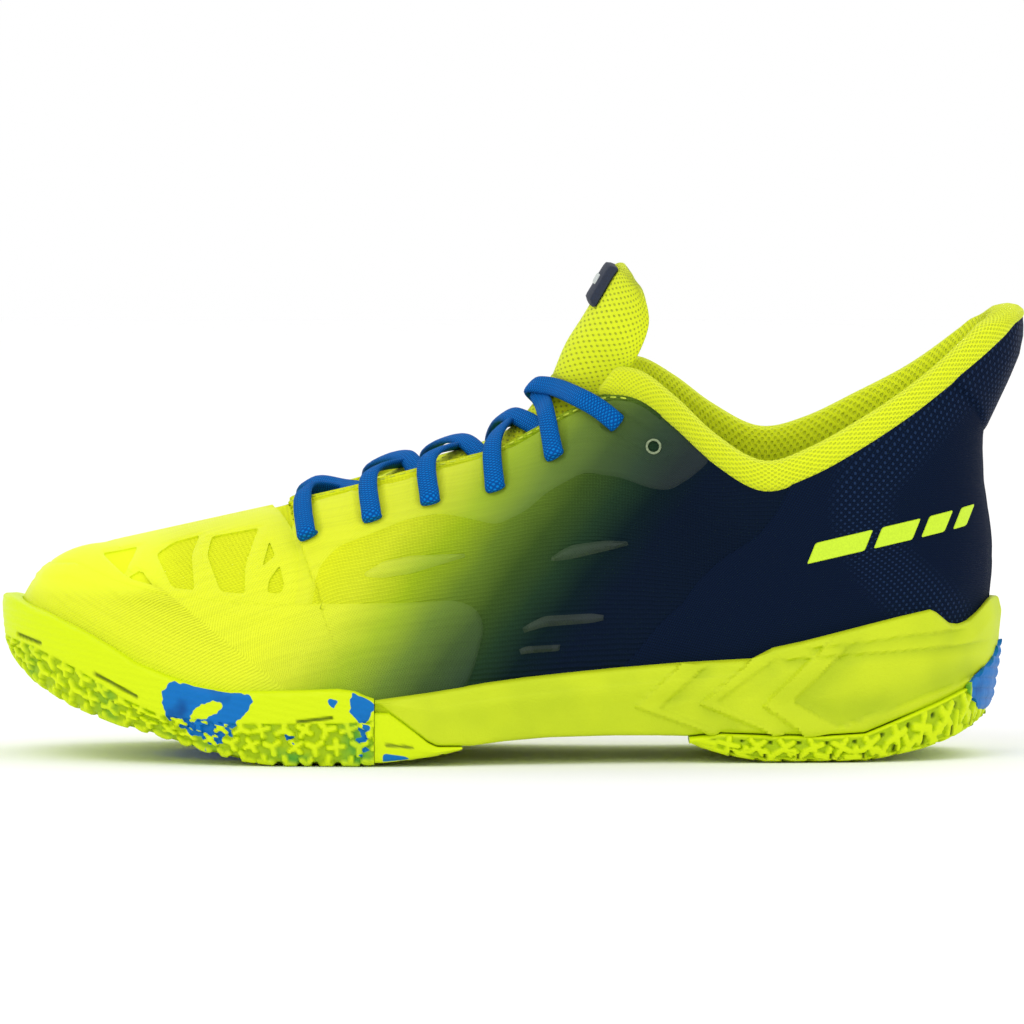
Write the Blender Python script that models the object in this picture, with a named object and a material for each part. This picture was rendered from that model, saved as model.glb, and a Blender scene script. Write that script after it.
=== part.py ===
"""Low-cut court shoe, left foot: sole unit, lasted upper, padded collar, tongue and lace.

Toe at -X, heel at +X, lateral side at -Y, ground at Z = 0. Metres.
"""

import math

import bmesh
import bpy
from mathutils import Vector

MM = 0.001

# Sole outline, outermost line of the rubber seen from above, in millimetres
LATERAL = [
    (-148, 6), (-146.3, -8), (-139, -21), (-126, -33), (-110, -41.5), (-90, -49), (-70, -54),
    (-50, -56), (-30, -56), (-10, -52.5), (12, -48), (35, -44), (60, -42), (85, -41),
    (103, -38.5), (118, -33.5), (130, -25.5), (138.4, -13), (142.2, 0),
]
MEDIAL = [
    (-148, 6), (-143, 24), (-133, 36), (-118, 46), (-98, 52.5), (-80, 55), (-62, 55.5),
    (-42, 52), (-20, 46), (5, 39.5), (30, 37), (55, 37.5), (80, 38.5), (100, 38),
    (117, 34), (130, 26), (138.4, 13.5), (142.2, 0),
]
SPINE_FRONT = -112.0  # the rows fan out from the centre line ahead of this
SPINE_REAR = 112.0

# Heights along the shoe (X, Z)
TREAD = [
    (-148, 38.7), (-147, 33.5), (-144.8, 28.7), (-141, 24.7), (-137.5, 21.6), (-133, 19),
    (-127.8, 16), (-120.4, 13.2), (-113, 10.6), (-103, 8.2), (-95, 5.7), (-86.4, 3.2),
    (-77.4, 1.2), (-68, 0), (-44, 0), (-30, 1.3), (-21, 2.6), (-11.6, 4.8),
]
FOXING = [
    (-148, 46.3), (-144.4, 45.7), (-139.5, 43.4), (-133.7, 41.6), (-128, 39), (-122.7, 36.7),
    (-115, 32.6), (-108, 28.3), (-100.3, 25.4), (-90.8, 22.2), (-81.8, 20.7), (-59.7, 21.2),
    (-50, 21.6), (-45, 21), (-42, 19.6), (-39.2, 18.7),
]
FOOTBED = [
    (-148, 44), (-140, 38), (-130, 31.5), (-120, 27), (-110, 23.5), (-100, 21), (-90, 19.5),
    (-80, 18.5), (-60, 17.8), (-40, 18), (-20, 19.5), (0, 20.5), (40, 21.5), (60, 22.5),
    (80, 23.5), (100, 24), (120, 24.6), (142, 26),
]
MIDSOLE_EDGE = [
    (-39, 18.4), (-32.5, 19.3), (-22, 20.7), (-7, 23.1), (4.4, 24.5), (16.8, 25.7),
    (32.5, 27.1), (48, 28.3), (66, 29.2), (75, 32.5), (84, 34.4), (92, 36.4), (104, 39.4),
    (112, 41.3), (122, 42.2), (132, 41.8), (142, 43.6),
]
WAIST = [
    (-39, 18), (-32, 12.9), (-27, 9), (-24, 6.6), (-21.5, 5.4), (-11.6, 5.3), (-2, 6.5),
    (10.4, 7.4), (29.3, 7.7), (42, 7.6), (50, 7.4), (59, 8.4), (76.6, 7.8), (90, 7.6),
    (101.5, 8.2), (110, 11.6), (123.7, 17.2), (131.8, 20.9), (139.8, 27.8), (142.2, 33),
]
HEEL_TREAD = [
    (50, 5.9), (55, 3.7), (61.8, 1.7), (72, 0), (102, 0), (110, 1.4), (118, 3), (126.4, 5.7),
    (131.8, 8.2), (136.5, 10.4),
]
INSERT_BASE = [(131.8, 20.2), (136.2, 13.9), (137.8, 15.8), (139.2, 19.3), (141, 26)]

TREAD_THICK = 4.0
RUBBER_WALL = 3.0
EDGE_INSET = 5.0  # deeper than this, the rows draw in towards the centre line
FOAM_WALL = 3.6
GROOVE_X = (-39.8, -39.0)  # flex groove between forefoot and rear

# Upper: where each wall section stands on the outline, and its top (X, half width, Z
# lateral, extra Z medial); then how far in and how low its upper handle reaches
SECTIONS = [
    (-149, -118, 0, 59.6, 0, 0.55, 0.0),
    (-56, -115, 0, 60.5, 0, 0.55, 0.0),
    (-46, -68, 0, 71.0, 0, 0.55, 0.0),
    (-43, -64, 10, 73.2, 0, 0.52, 0.04),
    (-39, -57, 17.5, 75.5, 0, 0.5, 0.1),
    (-31, -45.2, 19, 78.4, 0, 0.5, 0.12),
    (-22, -30.7, 20, 82.5, 0, 0.5, 0.13),
    (-10, -14, 20.5, 86.7, 0, 0.5, 0.14),
    (0, -3.5, 21, 89.8, 0, 0.5, 0.14),
    (10, 9, 22.5, 96.5, 0, 0.48, 0.16),
    (20, 20, 24.5, 102.3, 0, 0.45, 0.2),
    (27, 28, 27, 105.8, 0.5, 0.4, 0.25),
    (36, 37, 29.5, 104.5, 2, 0.35, 0.3),
    (47, 47, 31.5, 97, 4, 0.3, 0.35),
    (59, 58, 33.2, 87, 6, 0.25, 0.4),
    (72, 72, 34, 79.2, 7, 0.22, 0.45),
    (86, 86, 33.4, 83, 6, 0.2, 0.5),
    (99, 102, 31, 91.8, 5, 0.2, 0.5),
    (111, 117, 28.5, 101.8, 3, 0.2, 0.5),
    (122, 129.5, 25, 111.2, 2, 0.2, 0.5),
    (131, 139, 19, 119.8, 1, 0.2, 0.5),
    (137.5, 144.8, 11.5, 126, 0, 0.2, 0.5),
    (142.2, 147, 0, 127.8, 0, 0.2, 0.5),
]
STEPS = [10, 3, 1, 2, 2, 2, 2, 2, 2, 2, 1, 1, 2, 2, 2, 2, 2, 2, 2, 2, 1, 1]
ROWS = 9
UPPER_INSET = 5.0
UPPER_DROP = 3.5
HEEL_BACK = [
    (17, 136.8), (30, 137.3), (44, 137.9), (52, 138.8), (60.8, 138.9), (68.6, 138), (78, 136.5),
    (88, 136), (92, 136.1), (95, 136.7), (102, 140), (109, 143.3), (116, 146.2), (122, 147.3),
    (128, 147),
]
KNIT = (-1.2, 0.0)
SECTION_TOE, SECTION_FLEX, SECTION_THROAT = 0, 1, 2

EYELETS = [(-59.5, 67), (-42, 72), (-24, 76.7), (-5.4, 80.2), (11, 88.5), (28.5, 97.5)]
CROSSINGS = [(-52, 0.8), (-34, 1.85), (-16, 2.9), (0.5, 4.2), (6.5, 6.6)]  # edge X, tongue row
SPARE_EYELET = (40.7, 90.3)
LACE_R = 1.2
HOLE_R = 2.5

COLORS = {
    "lime": (0.80, 0.93, 0.02), "lime_knit": (0.83, 0.92, 0.03), "foam": (0.50, 0.64, 0.01),
    "navy": (0.004, 0.012, 0.035), "blue": (0.004, 0.17, 0.5), "film": (0.3, 0.4, 0.15),
    "green": (0.05, 0.12, 0.04), "white": (0.85, 0.85, 0.82), "grey": (0.2, 0.2, 0.2),
}


def table(points, x):
    """Piecewise-linear value at x of a list of (x, value) pairs."""
    if x <= points[0][0]:
        return points[0][1]
    for (x0, y0), (x1, y1) in zip(points, points[1:]):
        if x <= x1:
            return y0 + (y1 - y0) * (x - x0) / (x1 - x0)
    return points[-1][1]


def smooth(points, per=12):
    """Catmull-Rom curve through the points, as a dense list."""
    vs = [Vector(p) for p in points]
    ext = [vs[0] * 2 - vs[1]] + vs + [vs[-1] * 2 - vs[-2]]
    out = []
    for k in range(1, len(ext) - 2):
        p0, p1, p2, p3 = ext[k - 1 : k + 3]
        for j in range(per):
            t = j / per
            a = -0.5 * t**3 + t**2 - 0.5 * t
            b = 1.5 * t**3 - 2.5 * t**2 + 1
            c = -1.5 * t**3 + 2 * t**2 + 0.5 * t
            d = 0.5 * t**3 - 0.5 * t**2
            out.append(p0 * a + p1 * b + p2 * c + p3 * d)
    return out + [vs[-1]]


def dense_outline(points):
    """The outline smoothed, closed to a round tip at both ends."""
    return smooth([(x, y) for x, y in points], 10)


OUTLINE = {"L": dense_outline(LATERAL), "M": dense_outline(MEDIAL)}


def outline_point(side, x, inset=0.0):
    """Point of a side's outline at station x, moved inward by inset."""
    line = OUTLINE[side]
    k = 0
    while k < len(line) - 2 and line[k + 1].x < x:
        k += 1
    a, b = line[k], line[k + 1]
    f = min(1.0, max(0.0, (x - a.x) / max(1e-6, b.x - a.x)))
    p = a.lerp(b, f)
    tip = 1e-6
    if x <= line[0].x + tip:
        return Vector((line[0].x + inset, line[0].y))
    if x >= line[-1].x - tip:
        return Vector((line[-1].x - inset, line[-1].y))
    before = line[max(0, k - 2)]
    after = line[min(len(line) - 1, k + 3)]
    along = (after - before).normalized()
    sign = 1 if side == "L" else -1
    return p + Vector((-along.y, along.x)) * inset * sign


def spine_point(x):
    """Centre line of the sole at station x."""
    x = min(max(x, SPINE_FRONT), SPINE_REAR)
    return (outline_point("L", x) + outline_point("M", x)) / 2


def stations(x0, x1, step=9.0):
    """Stations between two X, closer together near the round ends."""
    xs = {x0, x1}
    for tip in (-147.4, -145.5, -142, -137, -130.5, -122, -68, -44, 72, 102):
        xs.add(tip)
    for tip in (123, 130, 135, 138.6, 141, 142):
        xs.add(tip)
    x = -113.0
    while x < 116:
        xs.add(x)
        x += step
    keep = sorted(v for v in xs if x0 <= v <= x1)
    out = [keep[0]]
    for v in keep[1:]:
        if v - out[-1] >= 0.35 or v == x1:
            out.append(v)
    return out


def new_object(name, verts, faces, color, rough=0.6):
    """A closed mesh from loose corners: shared corners joined, double faces removed."""
    index, key_of, points = {}, [], []
    for v in verts:
        key = (round(v[0], 4), round(v[1], 4), round(v[2], 4))
        if key not in index:
            index[key] = len(points)
            points.append((key[0] * MM, key[1] * MM, key[2] * MM))
        key_of.append(index[key])
    seen = {}
    for face in faces:
        ids = []
        for v in face:
            if key_of[v] not in ids:
                ids.append(key_of[v])
        if len(ids) < 3:
            continue
        seen.setdefault(frozenset(ids), []).append(ids)
    kept = [fs[0] for fs in seen.values() if len(fs) % 2 == 1]
    mesh = bpy.data.meshes.new(name)
    mesh.from_pydata(points, [], kept)
    bm = bmesh.new()
    bm.from_mesh(mesh)
    bmesh.ops.recalc_face_normals(bm, faces=bm.faces)
    loose = [v for v in bm.verts if not v.link_faces]
    bmesh.ops.delete(bm, geom=loose, context="VERTS")
    if bm.calc_volume(signed=True) < 0:
        bmesh.ops.reverse_faces(bm, faces=bm.faces)
    bm.to_mesh(mesh)
    bm.free()
    obj = bpy.data.objects.new(name, mesh)
    bpy.context.scene.collection.objects.link(obj)
    mat = bpy.data.materials.new(name)
    mat.use_nodes = True
    shader = mat.node_tree.nodes["Principled BSDF"]
    shader.inputs["Base Color"].default_value = (*COLORS[color], 1)
    shader.inputs["Roughness"].default_value = rough
    mesh.materials.append(mat)
    return obj


def solid(name, top, bottom, color, rough=0.6):
    """Closed solid between two grids of points of the same size."""
    rows, cols = len(top), len(top[0])
    verts = [p for row in top for p in row] + [p for row in bottom for p in row]
    low = rows * cols

    def at(i, j):
        return i * cols + j

    faces = []
    for i in range(rows - 1):
        for j in range(cols - 1):
            quad = (at(i, j), at(i + 1, j), at(i + 1, j + 1), at(i, j + 1))
            faces.append(quad)
            faces.append(tuple(low + k for k in reversed(quad)))
    for i in range(rows - 1):
        for j in (0, cols - 1):
            faces.append((at(i, j), at(i + 1, j), low + at(i + 1, j), low + at(i, j)))
    for j in range(cols - 1):
        for i in (0, rows - 1):
            faces.append((at(i, j), at(i, j + 1), low + at(i, j + 1), low + at(i, j)))
    return new_object(name, verts, faces, color, rough)


def sole_row(x, profile):
    """Points across the sole at station x: profile is (inset, inward share, height)."""
    middle = spine_point(x)
    rows = {}
    for side in "LM":
        pts = []
        for inset, share, height in profile:
            inset = inset(x) if callable(inset) else inset
            p = outline_point(side, x, min(inset, EDGE_INSET))
            if inset > EDGE_INSET:
                p += (middle - p).normalized() * (inset - EDGE_INSET)
            p = p.lerp(middle, share)
            z = height(p.x) if callable(height) else height
            pts.append((p.x, p.y, z))
        rows[side] = pts
    return rows["L"] + rows["M"][-2::-1]


def sole_piece(name, x0, x1, upper, lower, color, rough=0.6, step=9.0):
    """Sole part between stations, its upper and lower faces given as profiles."""
    xs = stations(x0, x1, step)
    top = [sole_row(x, upper) for x in xs]
    bottom = [sole_row(x, lower) for x in xs]
    return solid(name, top, bottom, color, rough)


def flat_slab(name, x0, x1, inset, top_z, low_z, color, step=11.0, share=0.0):
    """Plain layer of the sole with level edges."""
    def profile(z):
        return [(inset, share, z), (inset, share + (1 - share) * 0.5, z), (inset, 1.0, z)]

    return sole_piece(name, x0, x1, profile(top_z), profile(low_z), color, 0.7, step)


def lifted(points, dz):
    """Height table moved up by dz, as a function of X."""
    return lambda x: table(points, x) + dz


def between(a, b, f):
    """Height a share f of the way from table a to table b."""
    return lambda x: table(a, x) * (1 - f) + table(b, x) * f


def forefoot_outsole():
    """Rubber tread with the foxing wall that wraps the toe."""
    outer = [
        (0.3, 0, lifted(FOXING, 0)), (0.0, 0, between(FOXING, TREAD, 0.45)),
        (0.2, 0, between(FOXING, TREAD, 0.85)), (2.2, 0, lifted(TREAD, 0)),
        (2.2, 0.5, lifted(TREAD, 0)), (2.2, 1.0, lifted(TREAD, 0)),
    ]
    w = RUBBER_WALL
    floor = lifted(TREAD, TREAD_THICK)
    inner = [
        (w, 0, lifted(FOXING, 0)), (w + 0.2, 0, between(FOXING, TREAD, 0.4)),
        (w + 0.8, 0, floor), (w + 2.5, 0.02, floor), (w + 2.5, 0.5, floor), (w + 2.5, 1, floor),
    ]
    sole_piece("outsole_forefoot", -148, GROOVE_X[0], outer, inner, "lime", 0.35, 8.0)


def core_line(x):
    """Underside of the rear midsole away from its edges."""
    if x < 0:
        return min(table(WAIST, x), table(TREAD, x) + TREAD_THICK + 0.4)
    return min(table(WAIST, x), 11.6)


def midfoot_outsole():
    """Rubber pad behind the groove, tapering out along the slanted joint line."""
    def edge(x):
        return table(WAIST, x) - 0.9

    def core(x):
        return core_line(x) - 0.6

    upper = [(0.8, 0, edge), (1.6, 0, edge), (3.4, 0, core), (3.4, 0.4, core), (3.4, 1, core)]
    low = lifted(TREAD, 0)
    lower = [(0.8, 0, low), (1.6, 0, low), (3.4, 0, low), (3.4, 0.4, low), (3.4, 1, low)]
    sole_piece("outsole_midfoot", GROOVE_X[1], -14, upper, lower, "lime", 0.35, 5.0)


def heel_outsole():
    """Heel rubber, with the blue insert let into its back end."""
    def top(x):
        if x > 131.8:
            return 11.1
        return table(WAIST, x) - 0.6

    def core(x):
        return min(top(x), core_line(x) - 0.4)

    def inward(base):
        return lambda x: base + 4.6 * max(0.0, (x - 130) / 12.2) ** 1.5

    low = lifted(HEEL_TREAD, 0)
    upper = [(inward(1.2), 0, top), (inward(2.0), 0, top), (inward(4.0), 0, core),
             (inward(5), 0.35, core), (5, 1, core)]
    lower = [(inward(1.6), 0, lambda x: min(table(HEEL_TREAD, x) + 0.6, top(x) - 0.4)),
             (inward(2.6), 0, low), (inward(4.5), 0, low), (inward(5), 0.35, low), (5, 1, low)]
    xs = [52, 56, 61.8, 72, 82, 92, 102, 110, 118, 125, 131, 132.6, 136, 139.6, 141.6, 142.2]
    top_grid = [sole_row(x, upper) for x in xs]
    low_grid = [sole_row(x, lower) for x in xs]
    solid("outsole_heel", top_grid, low_grid, "lime", 0.35)
    upper = [(1.0, 0, lambda x: table(WAIST, x) - 1.0), (3.0, 0, lambda x: table(WAIST, x) - 1.0)]
    lower = [(1.0, 0, lambda x: table(INSERT_BASE, x)), (3.0, 0, lambda x: table(INSERT_BASE, x))]
    insert_rows(upper, lower)


def insert_rows(upper, lower):
    """Blue band round the very back of the heel."""
    path = [("L", 133), ("L", 136), ("L", 139), ("L", 141.4), ("L", 142.2)]
    path += [("M", x) for _, x in path[-2::-1]]

    def grid(profile, extra):
        rows = []
        for side, x in path:
            row = []
            for inset, depth, height in profile:
                p = outline_point(side, x, inset + depth + extra)
                row.append((p.x, p.y, height(p.x)))
            rows.append(row)
        return rows

    top = [(1.0, 0, upper[0][2]), (1.0, 1.8, upper[0][2])]
    low = [(1.2, 0, lower[0][2]), (1.2, 1.6, lower[0][2])]
    solid("heel_insert", grid(top, 0), grid(low, 0), "blue", 0.4)


def rear_midsole():
    """Facetted foam cup behind the groove."""
    w = FOAM_WALL
    edge = lifted(MIDSOLE_EDGE, 0)
    low = lifted(WAIST, 0)
    floor = lifted(FOOTBED, -8.0)
    outer = [
        (1.2, 0, edge), (0.2, 0, between(MIDSOLE_EDGE, WAIST, 0.35)),
        (0.9, 0, between(MIDSOLE_EDGE, WAIST, 0.7)), (1.3, 0, low), (2.8, 0, low),
        (5.0, 0, core_line), (5.0, 0.4, core_line), (5.0, 1, core_line),
    ]
    inner = [
        (w, 0, edge), (w + 0.1, 0, lambda x: 0.67 * edge(x) + 0.33 * floor(x)),
        (w + 0.2, 0, lambda x: 0.33 * edge(x) + 0.67 * floor(x)), (w + 0.5, 0, floor),
        (w + 1.8, 0, floor), (w + 3, 0.02, floor), (w + 3, 0.4, floor), (w + 3, 1, floor),
    ]
    xs = [x for x in stations(GROOVE_X[1], 142.2, 8.0)]
    top = [sole_row(x, outer) for x in xs]
    bottom = [sole_row(x, inner) for x in xs]
    solid("midsole_rear", top, bottom, "foam", 0.5)


def insole_layers():
    """Foam, plates, boards and sockliner between the rubber and the foot."""
    tread_top = lifted(TREAD, TREAD_THICK + 0.3)
    front_top = lifted(FOOTBED, -7.9)
    flat_slab("midsole_forefoot", -137, GROOVE_X[0] - 0.6, 7.2, front_top, tread_top, "foam")
    flat_slab("forefoot_cushion", -120, GROOVE_X[0] - 1.2, 10, lifted(FOOTBED, -6.2),
              lifted(FOOTBED, -7.6), "blue")
    flat_slab("board_front", -137, GROOVE_X[0] - 1.8, 5.2, lifted(FOOTBED, -4.5),
              lifted(FOOTBED, -5.8), "grey")
    flat_slab("sockliner_front", -128, GROOVE_X[0] - 2.6, 9.6, lifted(FOOTBED, 0),
              lifted(FOOTBED, -3.6), "lime")
    flat_slab("board_rear", GROOVE_X[1], 142.2, 5.2, lifted(FOOTBED, -4.4),
              lifted(FOOTBED, -5.9), "grey")
    flat_slab("sockliner_rear", GROOVE_X[1], 142.2, 12.4, lifted(FOOTBED, 0),
              lifted(FOOTBED, -4.1), "lime")
    flat_slab("shank_plate", -26, 62, 10, lifted(FOOTBED, -6.2), lifted(FOOTBED, -7.7),
              "grey", 11.0, 0.42)
    flat_slab("heel_cushion", 68, 128, 12, lifted(FOOTBED, -6.2), lifted(FOOTBED, -7.7),
              "blue", 11.0, 0.15)


def section_values():
    """The section table spread over the grid lines, smoothed through its rows."""
    rows = [Vector(r) for r in SECTIONS]
    ext = [rows[0] * 2 - rows[1]] + rows + [rows[-1] * 2 - rows[-2]]
    out = []
    for k in range(len(rows) - 1):
        for j in range(STEPS[k]):
            t = j / STEPS[k]
            if k < 2:
                out.append(rows[k].lerp(rows[k + 1], t))
                continue
            p0, p1, p2, p3 = ext[k : k + 4]
            a = -0.5 * t**3 + t**2 - 0.5 * t
            b = 1.5 * t**3 - 2.5 * t**2 + 1
            c = -1.5 * t**3 + 2 * t**2 + 0.5 * t
            d = 0.5 * t**3 - 0.5 * t**2
            out.append(p0 * a + p1 * b + p2 * c + p3 * d)
    return out + [rows[-1]]


LINES = section_values()
LINE_TOE = 0
LINE_FRONT = STEPS[0]
LINE_REAR = STEPS[0] + STEPS[1]
LINE_ROLL = sum(STEPS[:11])
LAST = sum(STEPS)


def toe_stations():
    """Outline stations for the fan of lines round the toe, evenly spread on the ground."""
    line = OUTLINE["L"]
    want = SECTIONS[1][0]
    pts = [p for p in line if p.x <= want] + [outline_point("L", want)]
    lengths = [0.0]
    for a, b in zip(pts, pts[1:]):
        lengths.append(lengths[-1] + (b - a).length)
    out = []
    for k in range(STEPS[0]):
        goal = lengths[-1] * (k / STEPS[0]) ** 1.1
        i = max(n for n, v in enumerate(lengths) if v <= goal + 1e-9)
        i = min(i, len(pts) - 2)
        f = (goal - lengths[i]) / (lengths[i + 1] - lengths[i])
        out.append(pts[i].lerp(pts[i + 1], f).x)
    return out


TOE_X = toe_stations()


def centre_y(x):
    """Sideways place of the foot's centre line."""
    return table([(-118, 6), (-64, 3), (0, 0.5), (60, 0), (147, 0)], x)


def bezier(p, s):
    """Point at share s of a cubic curve with four handles."""
    u = 1 - s
    return p[0] * u**3 + p[1] * 3 * u * u * s + p[2] * 3 * u * s * s + p[3] * s**3


def wall_point(side, i, s):
    """Point of the upper's outer surface: line i from the toe, share s from sole to top."""
    row = LINES[i]
    foot_x = TOE_X[i] if i < STEPS[0] else row[0]
    sign = -1 if side == "L" else 1
    foot = outline_point(side, foot_x, UPPER_INSET)
    z0 = table(FOOTBED, foot.x) - UPPER_DROP
    top = Vector((row[1], centre_y(row[1]) + sign * row[2], row[3] + (row[4] if sign > 0 else 0)))
    h = top.z - z0
    fan = max(0.0, 1 - i / STEPS[0])
    z1, z2 = z0 + 0.55 * h, top.z - row[6] * h
    lean1 = (z1 - z0) / h
    lean2 = (z2 - z0) / h
    x1 = foot.x + (top.x - foot.x) * lean1 * (1 - fan)
    x2 = top.x + (foot.x - top.x) * (1 - lean2)
    if i < STEPS[0]:
        x2 = top.x + min(0.0, foot.x - top.x) * row[5]
    y1, y2 = foot.y, top.y + (foot.y - top.y) * row[5]
    p = [Vector((foot.x, foot.y, z0)), Vector((x1, y1, z1)), Vector((x2, y2, z2)), top]
    q = bezier(p, s)
    back = min(1.0, max(0.0, (foot.x - 108) / 29)) ** 1.5
    if back > 0:
        straight = foot.x + (top.x - foot.x) * (q.z - z0) / h
        lean = 137.2 + (147 - 137.2) * (q.z - z0) / h
        q.x = straight + (table(HEEL_BACK, q.z) - lean) * back
    return q


def build_surface():
    """Grid of the whole upper: from the lateral heel round the toe to the medial heel."""
    grid = []
    for i in range(LAST, 0, -1):
        grid.append([wall_point("L", i, j / ROWS) for j in range(ROWS + 1)])
    for i in range(0, LAST + 1):
        grid.append([wall_point("M", i, j / ROWS) for j in range(ROWS + 1)])
    return grid


SURFACE = build_surface()
COUNT = len(SURFACE)


def surface_normals():
    """Outward direction at every grid corner."""
    out = []
    for i in range(COUNT):
        ia, ib = max(0, i - 1), min(COUNT - 1, i + 1)
        if i in (0, COUNT - 1):
            ia, ib = COUNT - 2, 1
        row = []
        for j in range(ROWS + 1):
            ja, jb = max(0, j - 1), min(ROWS, j + 1)
            along = SURFACE[ib][j] - SURFACE[ia][j]
            up = SURFACE[i][jb] - SURFACE[i][ja]
            n = along.cross(up)
            if n.length < 1e-6:
                n = Vector((0, 0, 1))
            row.append(n.normalized())
        out.append(row)
    mid = LAST
    probe = SURFACE[mid - 12][1]
    if out[mid - 12][1].dot(Vector((0, -1, 0))) < 0 and probe.y < 0:
        out = [[-n for n in row] for row in out]
    for i in range(LINE_REAR + 1):
        a, b = out[mid - i][ROWS], out[mid + i][ROWS]
        shared = (a + b).normalized()
        out[mid - i][ROWS] = shared
        out[mid + i][ROWS] = shared.copy()
    return out


NORMALS = surface_normals()


def line_number(side, i):
    """Grid row of line i (0 at the toe) on a side."""
    return LAST - i if side == "L" else LAST + i


def on_surface(u, s, d=0.0):
    """Point at grid position u (real row number), share s, offset d outward."""
    u = min(max(u, 0.0), COUNT - 1.0)
    v = min(max(s, 0.0), 1.0) * ROWS
    i, j = min(int(u), COUNT - 2), min(int(v), ROWS - 1)
    fu, fv = u - i, v - j
    def mix(grid):
        a = grid[i][j].lerp(grid[i + 1][j], fu)
        b = grid[i][j + 1].lerp(grid[i + 1][j + 1], fu)
        return a.lerp(b, fv)
    return mix(SURFACE) + mix(NORMALS).normalized() * d


def find(side, x, z):
    """Grid position whose outer surface shows at (x, z) from the side."""
    rows = range(0, LAST + 1) if side == "L" else range(LAST, COUNT)
    best = None
    for i in rows:
        for j in range(ROWS + 1):
            p = SURFACE[i][j]
            gap = (p.x - x) ** 2 + (p.z - z) ** 2
            if best is None or gap < best[0]:
                best = (gap, float(i), j / ROWS)
    _, u, s = best
    step_u, step_s = 0.5, 0.5 / ROWS
    while step_u > 0.01:
        moved = False
        for du, ds in ((step_u, 0), (-step_u, 0), (0, step_s), (0, -step_s)):
            uu = min(max(u + du, rows[0]), rows[-1])
            ss = min(max(s + ds, 0), 1)
            p = on_surface(uu, ss)
            gap = (p.x - x) ** 2 + (p.z - z) ** 2
            if gap < best[0] - 1e-9:
                best = (gap, uu, ss)
                u, s, moved = uu, ss, True
        if not moved:
            step_u, step_s = step_u / 2, step_s / 2
    return u, s


def patch(name, u0, u1, s0, s1, depth, color, rough=0.7, cuts=None, rows=None):
    """Layer of the upper between rows u0 and u1 and shares s0(u) and s1(u)."""
    lo, hi = depth
    marks = sorted({u0, u1} | {float(k) for k in range(math.ceil(u0), math.floor(u1) + 1)})
    marks = [m for k, m in enumerate(marks) if k == 0 or m - marks[k - 1] > 0.02]
    n = rows or ROWS
    low = s0 if callable(s0) else (lambda u: s0)
    high = s1 if callable(s1) else (lambda u: s1)
    grids = []
    for d in (hi, lo):
        grid = []
        for u in marks:
            a, b = low(u), high(u)
            if rows is None and a == 0 and b == 1:
                shares = [k / ROWS for k in range(ROWS + 1)]
            else:
                shares = [a + (b - a) * k / n for k in range(n + 1)]
            grid.append([on_surface(u, s, d) for s in shares])
        grids.append(grid)
    return solid(name, grids[0], grids[1], color, rough)


def seam_share(side, line):
    """Share along each grid row where a drawn line (x, z points) crosses it."""
    marks = [find(side, x, z) for x, z in line]
    marks.sort()
    return lambda u: table(marks, u)


def heel_seam_rows(side):
    """Grid rows of the slanted seam between quarter and heel panel, bottom and top."""
    low = find(side, 34, 30)[0]
    high = find(side, 74, 77)[0]
    return low, high


def slanted(name, side, edge_low, edge_high, end, depth, color, rough=0.7):
    """Layer whose front edge slants from row edge_low at the sole to edge_high on top."""
    hi_grid, lo_grid = [], []
    steps = 12
    for k in range(steps + 1):
        f = k / steps
        row_hi, row_lo = [], []
        for j in range(ROWS + 1):
            s = j / ROWS
            start = edge_low + (edge_high - edge_low) * s
            u = start + (end - start) * f
            row_hi.append(on_surface(u, s, depth[1]))
            row_lo.append(on_surface(u, s, depth[0]))
        hi_grid.append(row_hi)
        lo_grid.append(row_lo)
    return hi_grid, lo_grid


def knit_panels():
    """Toe box, bending vamp, quarters and heel panel."""
    gap = 0.06
    patch("toe_box_knit", LAST - LINE_FRONT, LAST + LINE_FRONT, 0, 1, KNIT, "lime_knit")
    u0, u1 = LAST - LINE_REAR + gap, LAST - LINE_FRONT - gap
    v0, v1 = LAST + LINE_FRONT + gap, LAST + LINE_REAR - gap
    flex_layer("vamp_flex", u0, u1, v0, v1, KNIT, "lime_knit")
    for side, tag in (("L", "lateral"), ("M", "medial")):
        low, high = heel_seam_rows(side)
        front = line_number(side, LINE_REAR)
        step = gap if side == "L" else -gap
        g = slanted("", side, low + step, high + step, float(front), KNIT, "green")
        solid("quarter_" + tag, g[0], g[1], "green", 0.8)
    heel_wrap("heel_panel", KNIT, "navy", 0.0, 1.0)


def flex_layer(name, u0, u1, v0, v1, depth, color):
    """The wedge of vamp that bends, over both sides and joined on the ridge."""
    side_us = [u0 + (u1 - u0) * k / 3 for k in range(4)]
    side_vs = [v1 + (v0 - v1) * k / 3 for k in range(4)]
    grids = []
    for d in (depth[1], depth[0]):
        grid = []
        for ua, vb in zip(side_us, side_vs):
            left = [on_surface(ua, j / ROWS, d) for j in range(ROWS + 1)]
            right = [on_surface(vb, j / ROWS, d) for j in range(ROWS + 1)]
            grid.append(left[:-1] + [(left[-1] + right[-1]) / 2] + right[-2::-1])
        grids.append(grid)
    solid(name, grids[0], grids[1], color, 0.8)


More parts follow.
